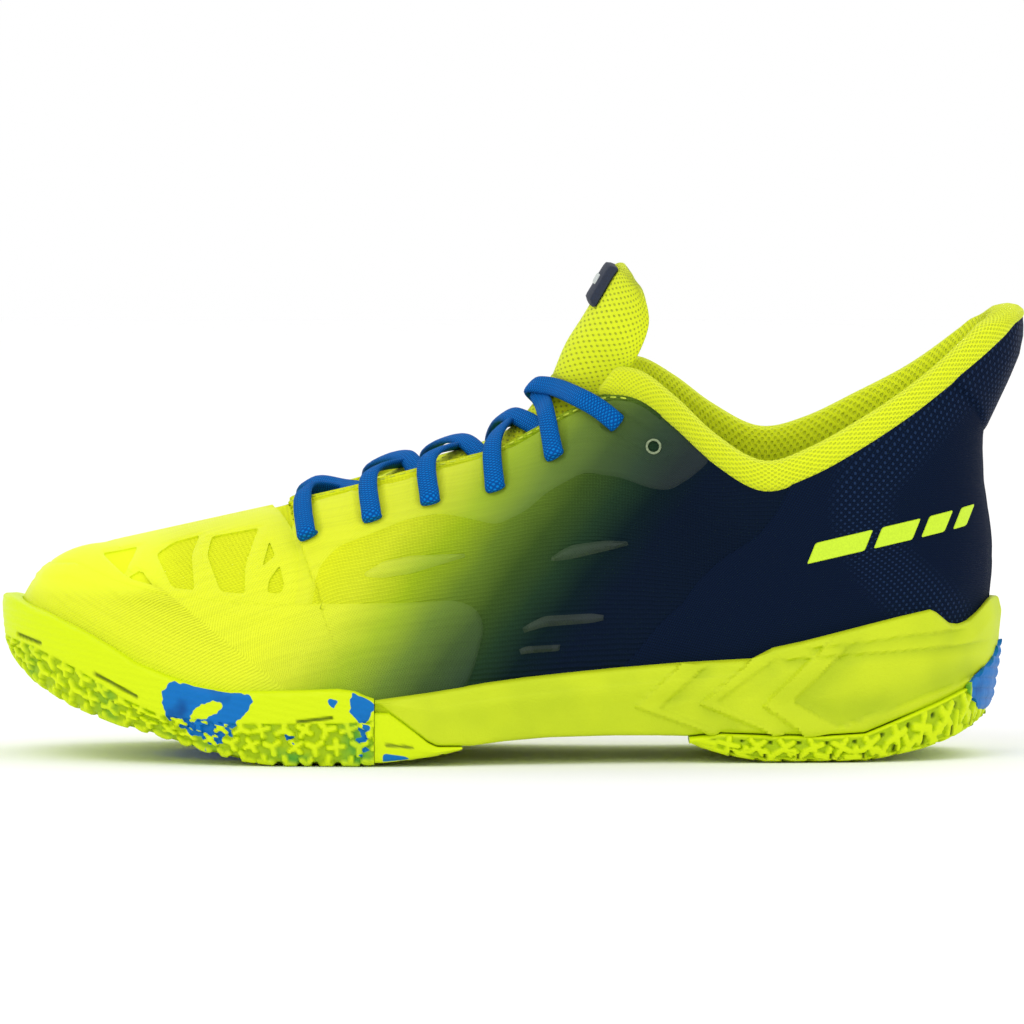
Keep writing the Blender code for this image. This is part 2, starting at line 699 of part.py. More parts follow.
def heel_wrap(name, depth, color, s0, s1, trim=0.0):
    """Layer round the heel between the two slanted seams."""
    l_low, l_high = heel_seam_rows("L")
    m_low, m_high = heel_seam_rows("M")
    steps = 11
    grids = []
    for d in (depth[1], depth[0]):
        grid = []
        for k in range(steps + 1):
            f = k / steps
            grid.append([wrap_point(l_low, l_high, 0.0, f, j / ROWS, s0, s1, d, trim)
                         for j in range(ROWS + 1)])
        for k in range(steps - 1, -1, -1):
            f = k / steps
            grid.append([wrap_point(m_low, m_high, COUNT - 1.0, f, j / ROWS, s0, s1, d, -trim)
                         for j in range(ROWS + 1)])
        grids.append(grid)
    return solid(name, grids[0], grids[1], color, 0.7)


def wrap_point(low, high, end, f, t, s0, s1, d, trim):
    """Point of the heel layer: f runs from the seam to the heel, t from low to high."""
    s = s0 + (s1 - s0) * t
    start = low + (high - low) * s - 0.06 * (1 if end == 0 else -1) - trim
    return on_surface(start + (end - start) * f, s, d)


def heel_inner():
    """Counter, foam and lining behind the quarters and heel panel."""
    heel_wrap("heel_counter", (-3.2, -1.6), "grey", 0.03, 0.42, 0.6)
    heel_wrap("collar_foam", (-4.5, -1.6), "lime", 0.47, 0.97, 0.2)
    front_l, front_m = line_number("L", LINE_ROLL + 2), line_number("M", LINE_ROLL + 2)
    us = [front_l - k for k in range(front_l + 1)]
    vs = [front_m + k for k in range(COUNT - front_m)]
    grids = []
    for d in (-5.6, -6.4):
        grid = [[on_surface(u, 0.0 + j / ROWS * 0.985, d) for j in range(ROWS + 1)] for u in us]
        grid += [[on_surface(v, 0.0 + j / ROWS * 0.985, d) for j in range(ROWS + 1)]
                 for v in vs[-2::-1]]
        grids.append(grid)
    solid("collar_lining", grids[0], grids[1], "lime", 0.9)


def collar_roll():
    """Padded roll that follows the top line from one side round to the other."""
    path = []
    front_l, front_m = line_number("L", LINE_ROLL + 1), line_number("M", LINE_ROLL + 1)
    for u in range(front_l, 0, -1):
        path.append(SURFACE[u][ROWS])
    for v in range(COUNT - 1, front_m - 1, -1):
        path.append(SURFACE[v][ROWS])
    rings = 8
    grid = []
    for k, p in enumerate(path):
        a, b = path[max(0, k - 1)], path[min(len(path) - 1, k + 1)]
        along = (b - a)
        along.z = 0
        along.normalize()
        inward = Vector((-along.y, along.x, 0))
        centre = Vector((70, 0, p.z))
        if inward.dot(centre - p) < 0:
            inward = -inward
        end = min(k, len(path) - 1 - k)
        size = min(1.0, 0.5 + 0.2 * end)
        mid = p + inward * 3.4 * size + Vector((0, 0, 0.7 + 3.3 * size))
        ring = []
        for r in range(rings):
            ang = 2 * math.pi * r / rings
            ring.append(mid + inward * (4.6 * size * math.cos(ang))
                        + Vector((0, 0, 1)) * (3.3 * size * math.sin(ang)))
        grid.append(ring)
    tube_mesh("collar_roll", grid, "lime", 0.9)


def tube_mesh(name, rings, color, rough=0.6):
    """Closed tube through the rings, with flat ends."""
    n = len(rings[0])
    verts = [v for ring in rings for v in ring]
    faces = []
    for k in range(len(rings) - 1):
        for r in range(n):
            a, b = k * n + r, k * n + (r + 1) % n
            faces.append((a, b, b + n, a + n))
    faces.append(tuple(range(n)))
    last = (len(rings) - 1) * n
    faces.append(tuple(range(last, last + n)))
    return new_object(name, verts, faces, color, rough)


def sweep(name, points, radius, color, rough=0.6, sides=6):
    """Round tube of one radius along the points."""
    rings = []
    side = None
    for k, p in enumerate(points):
        a, b = points[max(0, k - 1)], points[min(len(points) - 1, k + 1)]
        along = (b - a).normalized()
        if side is None:
            side = along.orthogonal().normalized()
        side = (side - along * side.dot(along)).normalized()
        other = along.cross(side)
        ring = []
        for r in range(sides):
            ang = 2 * math.pi * r / sides
            ring.append(p + side * radius * math.cos(ang) + other * radius * math.sin(ang))
        rings.append(ring)
    return tube_mesh(name, rings, color, rough)


def two_rail(name, side, upper, lower, depth, color, rough=0.5, rows=2):
    """Layer between two drawn lines on the side of the upper."""
    grids = []
    for d in (depth[1], depth[0]):
        grid = []
        for (ax, az), (bx, bz) in zip(lower, upper):
            ua, sa = find(side, ax, az)
            ub, sb = find(side, bx, bz)
            grid.append([on_surface(ua + (ub - ua) * k / rows, sa + (sb - sa) * k / rows, d)
                         for k in range(rows + 1)])
        grids.append(grid)
    return solid(name, grids[0], grids[1], color, rough)


def films():
    """Welded films: rand round the forefoot, toe web, eyestays and raised blades."""
    film = (0.5, 1.1)
    top_l = seam_share("L", [(-126, 56), (-114, 51), (-98, 47.2), (-84, 46.4), (-70, 45.8)])
    top_m = seam_share("M", [(-126, 56), (-114, 51), (-98, 47.2), (-84, 46.4), (-70, 45.8)])

    def rand_top(u):
        near = min(1.0, abs(u - LAST) / 4.0)
        side = top_l(u) if u <= LAST else top_m(u)
        return 0.74 * (1 - near) + side * near

    front_l, front_m = LAST - LINE_FRONT, LAST + LINE_FRONT
    patch("rand_film_front", front_l + 0.1, front_m - 0.1, 0.16, rand_top, film, "film", 0.4, None, 4)
    patch("toe_web_film", front_l + 3, front_m - 3, lambda u: rand_top(u) + 0.02, 0.93,
          film, "film", 0.4, None, 3)
    for side, tag in (("L", "lateral"), ("M", "medial")):
        rear = [(-42, 22), (-35, 22.5), (-27, 24), (-19, 25), (-13.3, 26)]
        crest = [(-50, 45.6), (-40, 45.6), (-27.7, 46.4), (-17, 47), (-10, 43)]
        two_rail("rand_film_" + tag, side, crest, rear, film, "film", 0.4, 4)
        low = [(-62, 46.8), (-56, 55), (-50, 62), (-41.5, 65), (-30.5, 69), (-21, 70.5),
               (-8, 68.6), (0, 69.5), (10, 77), (20, 82.4), (31, 81.5), (41, 78)]
        high = [(-63.5, 66), (-60.5, 71.6), (-56, 73.6), (-46, 76), (-33, 79), (-22, 82),
                (-8, 85.5), (0, 88.5), (10, 94.5), (20, 99.3), (27, 101.5), (35, 101.2)]
        two_rail("eyestay_film_" + tag, side, high, low, film, "film", 0.35, 4)
        blades(side, tag)


def blades(side, tag):
    """Four raised gills on the waist of the upper."""
    shapes = {
        "a": ([(0.5, 37.4), (9.3, 42.6), (23.1, 43), (30.7, 41.9)],
              [(1.6, 36.9), (9.3, 39), (23.1, 39.6), (30.2, 41.3)]),
        "b": ([(-0.8, 31.4), (3.7, 33.7), (14.3, 34.2), (18.6, 33.2)],
              [(0.2, 30.9), (4.2, 31.4), (13, 32), (18.3, 32.7)]),
        "c": ([(-43, 55), (-37, 58.2), (-23, 60.3), (-13, 60)],
              [(-42.4, 53.6), (-37, 53.1), (-21, 56.6), (-12, 59)]),
        "d": ([(10.4, 58.9), (17.4, 62.6), (27, 63.8), (37.6, 63.3)],
              [(11, 57.8), (17.4, 58.2), (28, 60.8), (37.2, 62.7)]),
    }
    for key, (upper, lower) in shapes.items():
        two_rail("blade_" + key + "_" + tag, side, upper, lower, (0.7, 2.3), "green", 0.4, 1)


def heel_mark():
    """Generic slanted patch on the outer heel."""
    upper = [(84, 60.5), (96, 63.2), (108, 66), (120, 68.8)]
    lower = [(85, 54.5), (97, 57.2), (109, 60), (121, 62.8)]
    two_rail("heel_mark", "L", upper, lower, (0.5, 1.0), "lime", 0.4, 1)


TONGUE = [
    # x, z of the front face, half width, thickness, how far the wings lie back
    (-60, 65.5, 13, 3.0, 5), (-45, 75, 18, 5, 8), (-30, 81.5, 20, 6, 9.5), (-14, 86.5, 20.5, 6, 10.5),
    (-3, 90.5, 20.5, 6, 11), (4, 96, 20, 6.5, 12), (9, 102.5, 19.2, 7, 12.5),
    (12.0, 108.8, 18, 8, 13), (12.6, 110.4, 18, 8, 13), (16, 118.5, 21.5, 8, 14),
    (21, 126.5, 27, 8, 12), (25.5, 134, 26, 8, 9), (29.3, 140.3, 20, 6.5, 5),
    (31.5, 142.3, 15, 4, 3),
]
TONGUE_FIXED = 8  # rows below the fold


def tongue_normal(k):
    """Forward direction of the tongue at a row, the same on both sides of the fold."""
    first, last = k - 1, k + 1
    if k in (TONGUE_FIXED - 1, TONGUE_FIXED):
        first, last = TONGUE_FIXED - 2, TONGUE_FIXED + 1
    a, b = TONGUE[max(0, first)], TONGUE[min(len(TONGUE) - 1, last)]
    along = Vector((b[0] - a[0], 0, b[1] - a[1])).normalized()
    return Vector((-along.z, 0, along.x))


def tongue_front(v, y, lift):
    """Point on the tongue's front face at row position v, y across, raised by lift."""
    k = min(int(v), len(TONGUE) - 2)
    f = v - k
    spots = []
    for n in (k, k + 1):
        x, z, half, _, wing = TONGUE[n]
        out = tongue_normal(n)
        spots.append(Vector((x, y + centre_y(x), z)) - out * (wing * (y / half) ** 2 - lift))
    return spots[0].lerp(spots[1], f)


def tongue_grid(first, last, lift=0.0, thick=None, width=None):
    """Front and back grids of the arched tongue between two of its rows."""
    across = 8
    front, back = [], []
    for k in range(first, last):
        x, z, half, t, wing = TONGUE[k]
        out = tongue_normal(k)
        reach = width or half
        row_f, row_b = [], []
        for j in range(across + 1):
            f = -1 + 2 * j / across
            y = f * reach
            fall = wing * (y / half) ** 2
            edge = 1 - 0.55 * abs(f) ** 3
            depth = thick if thick is not None else t * edge
            base = Vector((x, y + centre_y(x), z)) - out * fall
            row_f.append(base + out * lift)
            row_b.append(base - out * depth + out * lift)
        front.append(row_f)
        back.append(row_b)
    return front, back


def tongue():
    """Fixed lower tongue, folding top, and its label."""
    total = len(TONGUE)
    f, b = tongue_grid(0, TONGUE_FIXED)
    solid("tongue_lower", f, b, "lime", 0.9)
    f, b = tongue_grid(TONGUE_FIXED, total)
    solid("tongue_upper", f, b, "lime", 0.9)
    f, b = tongue_grid(total - 4, total - 1, 1.9, 1.4, 10)
    solid("tongue_label", f, b, "navy", 0.5)


def throat_edge(side, x):
    """Point of the throat edge at x."""
    rows = [line_number(side, i) for i in range(LINE_REAR + 1, LINE_ROLL + 4)]
    tops = [SURFACE[u][ROWS] for u in rows]
    y = table([(p.x, p.y) for p in tops], x)
    z = table([(p.x, p.z) for p in tops], x)
    return Vector((x, y, z))


def lace_path(first, holes):
    """One half of the lace, from the middle of the bottom bar to its last eyelet."""
    pts = []
    side = first
    for k, eyelet in enumerate(EYELETS):
        u, s = holes[side][k]
        up = on_surface(u, s, 3.2)
        sign = -1 if side == "L" else 1
        over_edge = throat_edge(side, up.x) + Vector((0, -sign * 1.0, 3.4))
        pts += [over_edge, up, on_surface(u, s, -0.6), on_surface(u, s, -4.0)]
        if k == len(EYELETS) - 1:
            break
        come_out, row = CROSSINGS[k]
        edge = throat_edge(side, come_out)
        pts += [edge + Vector((0, -sign * 0.8, -6.4)), edge + Vector((0, -sign * 5.5, -3.2))]
        layer = 3.4 + (1.5 if side == "L" else -1.5)
        if k == len(EYELETS) - 2:
            pts.append(tongue_front(row - 0.5, sign * 10, 2.6))
        pts.append(tongue_front(row, 0.0, layer))
        if k == len(EYELETS) - 2:
            pts.append(tongue_front(row, -sign * 10, 2.6))
            pts.append(tongue_front(row, -sign * 19, 3.0))
        side = "M" if side == "L" else "L"
    return pts, side


def densify(points, step=9.0, turn=0.24):
    """Smooth the stops, with points close together only where the lace bends."""
    dense = smooth(points, 10)
    out = [dense[0]]
    heading = dense[1] - dense[0]
    for k in range(1, len(dense) - 1):
        ahead = dense[k + 1] - dense[k]
        far = (dense[k] - out[-1]).length
        if far >= step or (far > 1.4 and heading.angle(ahead, 0.0) > turn):
            out.append(dense[k])
            heading = ahead
    out.append(dense[-1])
    return out


def tucked_end(side, start):
    """Loose end, down the inside and along the edge of the sockliner."""
    sign = -1 if side == "L" else 1
    stops = [(34, 19, 92), (40, 17.5, 78), (46, 17, 60), (54, 17.5, 42), (64, 19, 31),
             (76, 20, 27.2), (90, 19.5, 27), (104, 16, 27.2), (114, 9, 27.5)]
    return [Vector((x, sign * y, z)) for x, y, z in stops]


def lace():
    """One lace through all the eyelets, with an aglet on each tucked end."""
    holes = {side: [find(side, x, z) for x, z in EYELETS] for side in "LM"}
    half = {}
    for first in "LM":
        pts, side = lace_path(first, holes)
        half[first] = (pts + tucked_end(side, pts[-1]), side)
    start = Vector((EYELETS[0][0] - 0.5, centre_y(-60), 79))
    left, right = half["L"][0], half["M"][0]
    path = densify(left[::-1] + [start] + right)
    sweep("lace", path[2:-2], LACE_R, "blue", 0.7)
    for k, ends in enumerate((path[0:2], path[-1:-3:-1])):
        tip, root = ends
        along = (tip - root).normalized()
        sweep("aglet_" + str(k + 1), [root + along * 0.4, tip + along * 5], 1.3, "lime", 0.3)
    return holes


def cut_holes(holes):
    """Eyelet holes through the films and quarters."""
    for side, tag in (("L", "lateral"), ("M", "medial")):
        places = holes[side] + [find(side, *SPARE_EYELET)]
        parts = []
        for u, s in places:
            a, b = on_surface(u, s, -3.2), on_surface(u, s, 3.2)
            parts.append((a, b))
        verts, faces = [], []
        for a, b in parts:
            along = (b - a).normalized()
            x_dir = along.orthogonal().normalized()
            y_dir = along.cross(x_dir)
            base = len(verts)
            for end in (a, b):
                for r in range(8):
                    ang = 2 * math.pi * r / 8
                    verts.append(end + (x_dir * math.cos(ang) + y_dir * math.sin(ang)) * HOLE_R)
            for r in range(8):
                n = (r + 1) % 8
                faces.append((base + r, base + n, base + 8 + n, base + 8 + r))
            faces.append(tuple(base + r for r in range(8)))
            faces.append(tuple(base + 8 + r for r in range(8)))
        cutter = new_object("eyelet_cutter_" + tag, verts, faces, "grey")
        cutter.hide_render = True
        cutter.display_type = "WIRE"
        targets = ["quarter_" + tag, "eyestay_film_" + tag]
        for name in targets:
            mod = bpy.data.objects[name].modifiers.new("eyelets", "BOOLEAN")
            mod.operation = "DIFFERENCE"
            mod.solver = "EXACT"
            mod.object = cutter


def toe_puff():
    """Stiffener inside the toe."""
    patch("toe_puff", LAST - 6, LAST + 6, 0.1, 0.72, (-2.4, -1.6), "grey", 0.7, None, 5)


def main():
    for obj in list(bpy.data.objects):
        bpy.data.objects.remove(obj)
    forefoot_outsole()
    midfoot_outsole()
    heel_outsole()
    rear_midsole()
    insole_layers()
    knit_panels()
    toe_puff()
    heel_inner()
    collar_roll()
    films()
    heel_mark()
    tongue()
    cut_holes(lace())


main()
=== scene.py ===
# Court shoe, left foot: the looks, built round the CAD frame
import math
import random

import bmesh
import bpy
import numpy as np
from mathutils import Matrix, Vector, geometry


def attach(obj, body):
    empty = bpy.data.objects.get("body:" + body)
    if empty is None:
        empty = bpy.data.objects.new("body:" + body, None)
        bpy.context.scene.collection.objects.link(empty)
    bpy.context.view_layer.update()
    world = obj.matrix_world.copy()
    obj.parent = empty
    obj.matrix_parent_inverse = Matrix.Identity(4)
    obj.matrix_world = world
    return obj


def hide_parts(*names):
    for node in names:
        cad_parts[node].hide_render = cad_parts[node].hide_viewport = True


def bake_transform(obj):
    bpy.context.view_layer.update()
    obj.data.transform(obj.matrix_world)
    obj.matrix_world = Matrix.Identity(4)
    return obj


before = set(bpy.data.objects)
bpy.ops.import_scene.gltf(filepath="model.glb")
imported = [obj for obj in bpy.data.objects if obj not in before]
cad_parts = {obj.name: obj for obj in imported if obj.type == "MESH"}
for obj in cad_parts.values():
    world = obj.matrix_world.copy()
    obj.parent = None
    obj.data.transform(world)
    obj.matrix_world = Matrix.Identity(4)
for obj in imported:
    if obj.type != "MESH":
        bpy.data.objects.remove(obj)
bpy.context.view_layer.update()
mm = 0.001
random.seed(7)
scene = bpy.context.scene


# Shader maths: one wrapped socket, and a material that makes its nodes

class Sock:
    def __init__(self, mat, socket):
        self.mat = mat
        self.socket = socket

    def op(self, operation, *others):
        return self.mat.node("ShaderNodeMath", {"operation": operation}, [self, *others])

    def __add__(self, other):
        return self.op("ADD", other)

    __radd__ = __add__

    def __mul__(self, other):
        return self.op("MULTIPLY", other)

    __rmul__ = __mul__

    def __sub__(self, other):
        return self.op("SUBTRACT", other)

    def __rsub__(self, other):
        return self.mat.node("ShaderNodeMath", {"operation": "SUBTRACT"}, [other, self])

    def step(self, low, high):  # 0 at low, 1 at high, smooth between; low may be the larger
        ends = [low, high, 0.0, 1.0] if low < high else [high, low, 1.0, 0.0]
        return self.mat.node("ShaderNodeMapRange", {"interpolation_type": "SMOOTHSTEP"},
                             [self, *ends])

    def wave(self, period):  # 0 to 1 and back once each period
        return (self * (2 * math.pi / period)).op("SINE") * 0.5 + 0.5


class Finish:
    def __init__(self, name, color, rough):
        self.mat = bpy.data.materials.new(name)
        self.mat.use_nodes = True
        self.tree = self.mat.node_tree
        self.bsdf = self.tree.nodes["Principled BSDF"]
        self.put("Base Color", color)
        self.put("Roughness", rough)

    def node(self, kind, settings=None, values=(), out=0):
        made = self.tree.nodes.new(kind)
        for key, value in (settings or {}).items():
            if key == "stops":
                ramp = made.color_ramp
                while len(ramp.elements) < len(value):
                    ramp.elements.new(0.5)
                for element, (place, color) in zip(ramp.elements, value):
                    element.position = place
                    element.color = (*color, 1)
            else:
                setattr(made, key, value)
        pairs = values.items() if isinstance(values, dict) else enumerate(values)
        for key, value in pairs:
            self.fill(made.inputs[key], value)
        return Sock(self, made.outputs[out])

    def fill(self, slot, value):  # a wrapped socket is linked, a plain value is set
        if isinstance(value, Sock):
            self.tree.links.new(value.socket, slot)
        elif hasattr(value, "__len__") and len(value) == 3 and len(slot.default_value) == 4:
            slot.default_value = (*value, 1)
        else:
            slot.default_value = value

    def put(self, key, value):
        self.fill(self.bsdf.inputs[key], value)

    def place(self, kind="Object"):  # place on the piece in millimetres
        if kind == "UV":
            at = self.node("ShaderNodeUVMap", {"uv_map": "UVMap"})
        else:
            at = self.node("ShaderNodeTexCoord", out=3)
        return self.node("ShaderNodeVectorMath", {"operation": "SCALE"}, {0: at, 3: 1000.0})

    def split(self, vector):
        made = self.node("ShaderNodeSeparateXYZ", values=[vector])
        outs = made.socket.node.outputs
        return [Sock(self, outs[k]) for k in range(3)]

    def join(self, x, y, z=0.0):
        return self.node("ShaderNodeCombineXYZ", values=[x, y, z])

    def noise(self, vector, scale, detail=2.0):
        return self.node("ShaderNodeTexNoise", {"noise_dimensions": "3D"},
                         {"Vector": vector, "Scale": scale, "Detail": detail})

    def attribute(self, name):
        return self.node("ShaderNodeAttribute", {"attribute_name": name}, out=2)

    def mix(self, factor, a, b, way="MIX"):
        return self.node("ShaderNodeMix", {"data_type": "RGBA", "blend_type": way},
                         {0: factor, 6: a, 7: b}, out=2)

    def ramp(self, factor, stops, low, high):
        span = [((place - low) / (high - low), color) for place, color in stops]
        share = (factor - low) * (1.0 / (high - low))
        return self.node("ShaderNodeValToRGB", {"stops": span}, [share])

    def bump(self, height, depth):  # depth in millimetres
        self.put("Normal", self.node("ShaderNodeBump", values={
            "Strength": 1.0, "Distance": depth * mm, "Height": height}))


def tone(red, green, blue):
    return tuple((v / 255 / 12.92 if v < 10.4 else ((v / 255 + 0.055) / 1.055) ** 2.4)
                 for v in (red, green, blue))


# Shape tables, in millimetres: toe at -X, lateral side at -Y, ground at Z = 0

lateralLine = [
    (-148, 6), (-146.3, -8), (-139, -21), (-126, -33), (-110, -41.5), (-90, -49), (-70, -54),
    (-50, -56), (-30, -56), (-10, -52.5), (12, -48), (35, -44), (60, -42), (85, -41),
    (103, -38.5), (118, -33.5), (130, -25.5), (138.4, -13), (142.2, 0)]
medialLine = [
    (-148, 6), (-143, 24), (-133, 36), (-118, 46), (-98, 52.5), (-80, 55), (-62, 55.5),
    (-42, 52), (-20, 46), (5, 39.5), (30, 37), (55, 37.5), (80, 38.5), (100, 38),
    (117, 34), (130, 26), (138.4, 13.5), (142.2, 0)]
tread = [
    (-148, 38.7), (-147, 33.5), (-144.8, 28.7), (-141, 24.7), (-137.5, 21.6), (-133, 19),
    (-127.8, 16), (-120.4, 13.2), (-113, 10.6), (-103, 8.2), (-95, 5.7), (-86.4, 3.2),
    (-77.4, 1.2), (-68, 0), (-44, 0), (-30, 1.3), (-21, 2.6), (-11.6, 4.8)]
foxing = [
    (-148, 46.3), (-144.4, 45.7), (-139.5, 43.4), (-133.7, 41.6), (-128, 39), (-122.7, 36.7),
    (-115, 32.6), (-108, 28.3), (-100.3, 25.4), (-90.8, 22.2), (-81.8, 20.7), (-59.7, 21.2),
    (-50, 21.6), (-45, 21), (-42, 19.6), (-39.2, 18.7)]
footbed = [
    (-148, 44), (-140, 38), (-130, 31.5), (-120, 27), (-110, 23.5), (-100, 21), (-90, 19.5),
    (-80, 18.5), (-60, 17.8), (-40, 18), (-20, 19.5), (0, 20.5), (40, 21.5), (60, 22.5),
    (80, 23.5), (100, 24), (120, 24.6), (142, 26)]
midsoleEdge = [
    (-39, 18.4), (-32.5, 19.3), (-22, 20.7), (-7, 23.1), (4.4, 24.5), (16.8, 25.7),
    (32.5, 27.1), (48, 28.3), (69, 29.4), (75, 32.5), (84, 34.4), (92, 36.4), (104, 39.4),
    (112, 41.3), (121, 43.2), (127, 38), (132, 39.6), (138.5, 45.6), (142, 46)]
waist = [
    (-39, 18), (-32, 12.9), (-27, 9), (-24, 6.6), (-21.5, 5.4), (-11.6, 5.3), (-2, 6.5),
    (10.4, 7.4), (29.3, 7.7), (42, 7.6), (50, 7.4), (59, 8.4), (76.6, 7.8), (90, 7.6),
    (101.5, 8.2), (110, 11.6), (123.7, 17.2), (131.8, 20.9), (139.8, 27.8), (142.2, 33)]
heelTread = [
    (50, 5.9), (55, 3.7), (61.8, 1.7), (72, 0), (102, 0), (110, 1.4), (118, 3), (126.4, 5.7),
    (131.8, 8.2), (136.5, 10.4), (142.2, 14)]
sections = np.array([
    (-149, -118, 0, 59.6, 0, 0.55, 0.0), (-56, -115, 0, 60.5, 0, 0.55, 0.0),
    (-46, -68, 0, 71.0, 0, 0.55, 0.0), (-43, -64, 10, 73.2, 0, 0.52, 0.04),
    (-39, -57, 17.5, 75.5, 0, 0.5, 0.1), (-31, -45.2, 19, 78.4, 0, 0.5, 0.12),
    (-22, -30.7, 20, 82.5, 0, 0.5, 0.13), (-10, -14, 20.5, 86.7, 0, 0.5, 0.14),
    (0, -3.5, 21, 89.8, 0, 0.5, 0.14), (10, 9, 22.5, 96.5, 0, 0.48, 0.16),
    (20, 20, 24.5, 102.3, 0, 0.45, 0.2), (27, 28, 27, 105.8, 0.5, 0.4, 0.25),
    (36, 37, 29.5, 104.5, 2, 0.35, 0.3), (47, 47, 31.5, 97, 4, 0.3, 0.35),
    (59, 58, 33.2, 87, 6, 0.25, 0.4), (72, 72, 34, 79.2, 7, 0.22, 0.45),
    (86, 86, 33.4, 83, 6, 0.2, 0.5), (99, 102, 31, 91.8, 5, 0.2, 0.5),
    (111, 117, 28.5, 101.8, 3, 0.2, 0.5), (122, 129.5, 25, 111.2, 2, 0.2, 0.5),
    (131, 139, 19, 119.8, 1, 0.2, 0.5), (137.5, 144.8, 11.5, 126, 0, 0.2, 0.5),
    (142.2, 147, 0, 127.8, 0, 0.2, 0.5)])
heelBack = [
    (17, 136.8), (30, 137.3), (44, 137.9), (52, 138.8), (60.8, 138.9), (68.6, 138),
    (78, 136.5), (88, 136), (92, 136.1), (95, 136.7), (102, 140), (109, 143.3), (116, 146.2),
    (122, 147.3), (128, 147)]


def table(points, x):
    data = np.array(points, float)
    return np.interp(x, data[:, 0], data[:, 1])


def runOf(points):  # length along a line, up to each of its points
    return np.concatenate([[0], np.cumsum(np.linalg.norm(np.diff(points, axis=0), axis=1))])


def readRows(goal, at, rows):  # every column of the rows, read at the goals
    return np.stack([np.interp(goal, at, rows[:, k]) for k in range(rows.shape[1])], axis=1)


def throughTwo(p0, p1, p2, p3, t):  # smooth curve from p1 to p2, t from 0 to 1
    return (p0 * (-0.5 * t**3 + t**2 - 0.5 * t) + p1 * (1.5 * t**3 - 2.5 * t**2 + 1)
            + p2 * (-1.5 * t**3 + 2 * t**2 + 0.5 * t) + p3 * (0.5 * t**3 - 0.5 * t**2))


def spline(points, per=12):
    v = np.array(points, float)
    ext = np.vstack([v[0] * 2 - v[1], v, v[-1] * 2 - v[-2]])
    t = np.arange(per)[:, None] / per
    rows = []
    for k in range(len(v) - 1):
        rows.append(throughTwo(*ext[k:k + 4], t))
    return np.vstack(rows + [v[-1:]])


outlines = {"L": spline(lateralLine, 10), "M": spline(medialLine, 10)}


def outlinePoint(side, x, inset=0.0):
    line = outlines[side]
    if x <= line[0, 0] + 1e-6:
        return line[0] + (inset, 0)
    if x >= line[-1, 0] - 1e-6:
        return line[-1] - (inset, 0)
    k = min(int(np.searchsorted(line[:, 0], x, side="right")) - 1, len(line) - 2)
    a, b = line[k], line[k + 1]
    p = a + (b - a) * (x - a[0]) / max(1e-6, b[0] - a[0])
    along = line[min(len(line) - 1, k + 3)] - line[max(0, k - 2)]
    along = along / np.linalg.norm(along)
    sign = 1 if side == "L" else -1
    return p + np.array((-along[1], along[0])) * inset * sign


def spinePoint(x):
    x = min(max(x, -112.0), 112.0)
    return (outlinePoint("L", x) + outlinePoint("M", x)) / 2


# The upper's outer surface as one table: columns round the shoe, rows up the wall

toeLine = outlines["L"][outlines["L"][:, 0] <= -56]
toeLine = np.vstack([toeLine, outlinePoint("L", -56)])
toeRun = runOf(toeLine)
wallRows = 48
shares = np.linspace(0, 1, wallRows + 1)


def centreY(x):
    return table([(-118, 6), (-64, 3), (0, 0.5), (60, 0), (147, 0)], x)


def sectionAt(t):
    k = min(int(t), len(sections) - 2)
    f = t - k
    if k < 2:
        return sections[k] * (1 - f) + sections[k + 1] * f
    ext = np.vstack([sections, sections[-1] * 2 - sections[-2]])
    return throughTwo(*ext[k - 1:k + 3], f)


def wallColumn(side, t):
    row = sectionAt(t)
    footX = np.interp(toeRun[-1] * t**1.1, toeRun, toeLine[:, 0]) if t < 1 else row[0]
    sign = -1 if side == "L" else 1
    foot = outlinePoint(side, footX, 5.0)
    z0 = table(footbed, foot[0]) - 3.5
    top = np.array((row[1], centreY(row[1]) + sign * row[2],
                    row[3] + (row[4] if sign > 0 else 0)))
    h = top[2] - z0
    fan = max(0.0, 1 - t)
    z1, z2 = z0 + 0.55 * h, top[2] - row[6] * h
    x1 = foot[0] + (top[0] - foot[0]) * 0.55 * (1 - fan)
    x2 = top[0] + (foot[0] - top[0]) * row[6]
    if t < 1:
        x2 = top[0] + min(0.0, foot[0] - top[0]) * row[5]
    y2 = top[1] + (foot[1] - top[1]) * row[5]
    handles = np.array([(foot[0], foot[1], z0), (x1, foot[1], z1), (x2, y2, z2), top])
    s = shares[:, None]
    u = 1 - s
    q = (handles[0] * u**3 + handles[1] * 3 * u * u * s + handles[2] * 3 * u * s * s
         + handles[3] * s**3)
    back = min(1.0, max(0.0, (foot[0] - 108) / 29)) ** 1.5
    rise = (q[:, 2] - z0) / h
    if back > 0:
        straight = foot[0] + (top[0] - foot[0]) * rise
        q[:, 0] = straight + (table(heelBack, q[:, 2]) - 137.2 - 9.8 * rise) * back
    return q


sampleT = np.concatenate([np.linspace(0, 1, 50, endpoint=False),
                          np.linspace(1, 2, 16, endpoint=False), np.arange(2, 22.01, 0.1)])
half = {side: np.array([wallColumn(side, min(t, 22.0)) for t in sampleT]) for side in "LM"}
wall = np.concatenate([half["L"][:0:-1], half["M"]])
toeColumn = len(sampleT) - 1


def gridNormals(grid, closed=False):
    along = np.gradient(grid, axis=0)
    if closed:
        along[0] = along[-1] = grid[1] - grid[-2]
    up = np.gradient(grid, axis=1)
    n = np.cross(along, up)
    size = np.linalg.norm(n, axis=2, keepdims=True)
    return n / np.maximum(size, 1e-9)


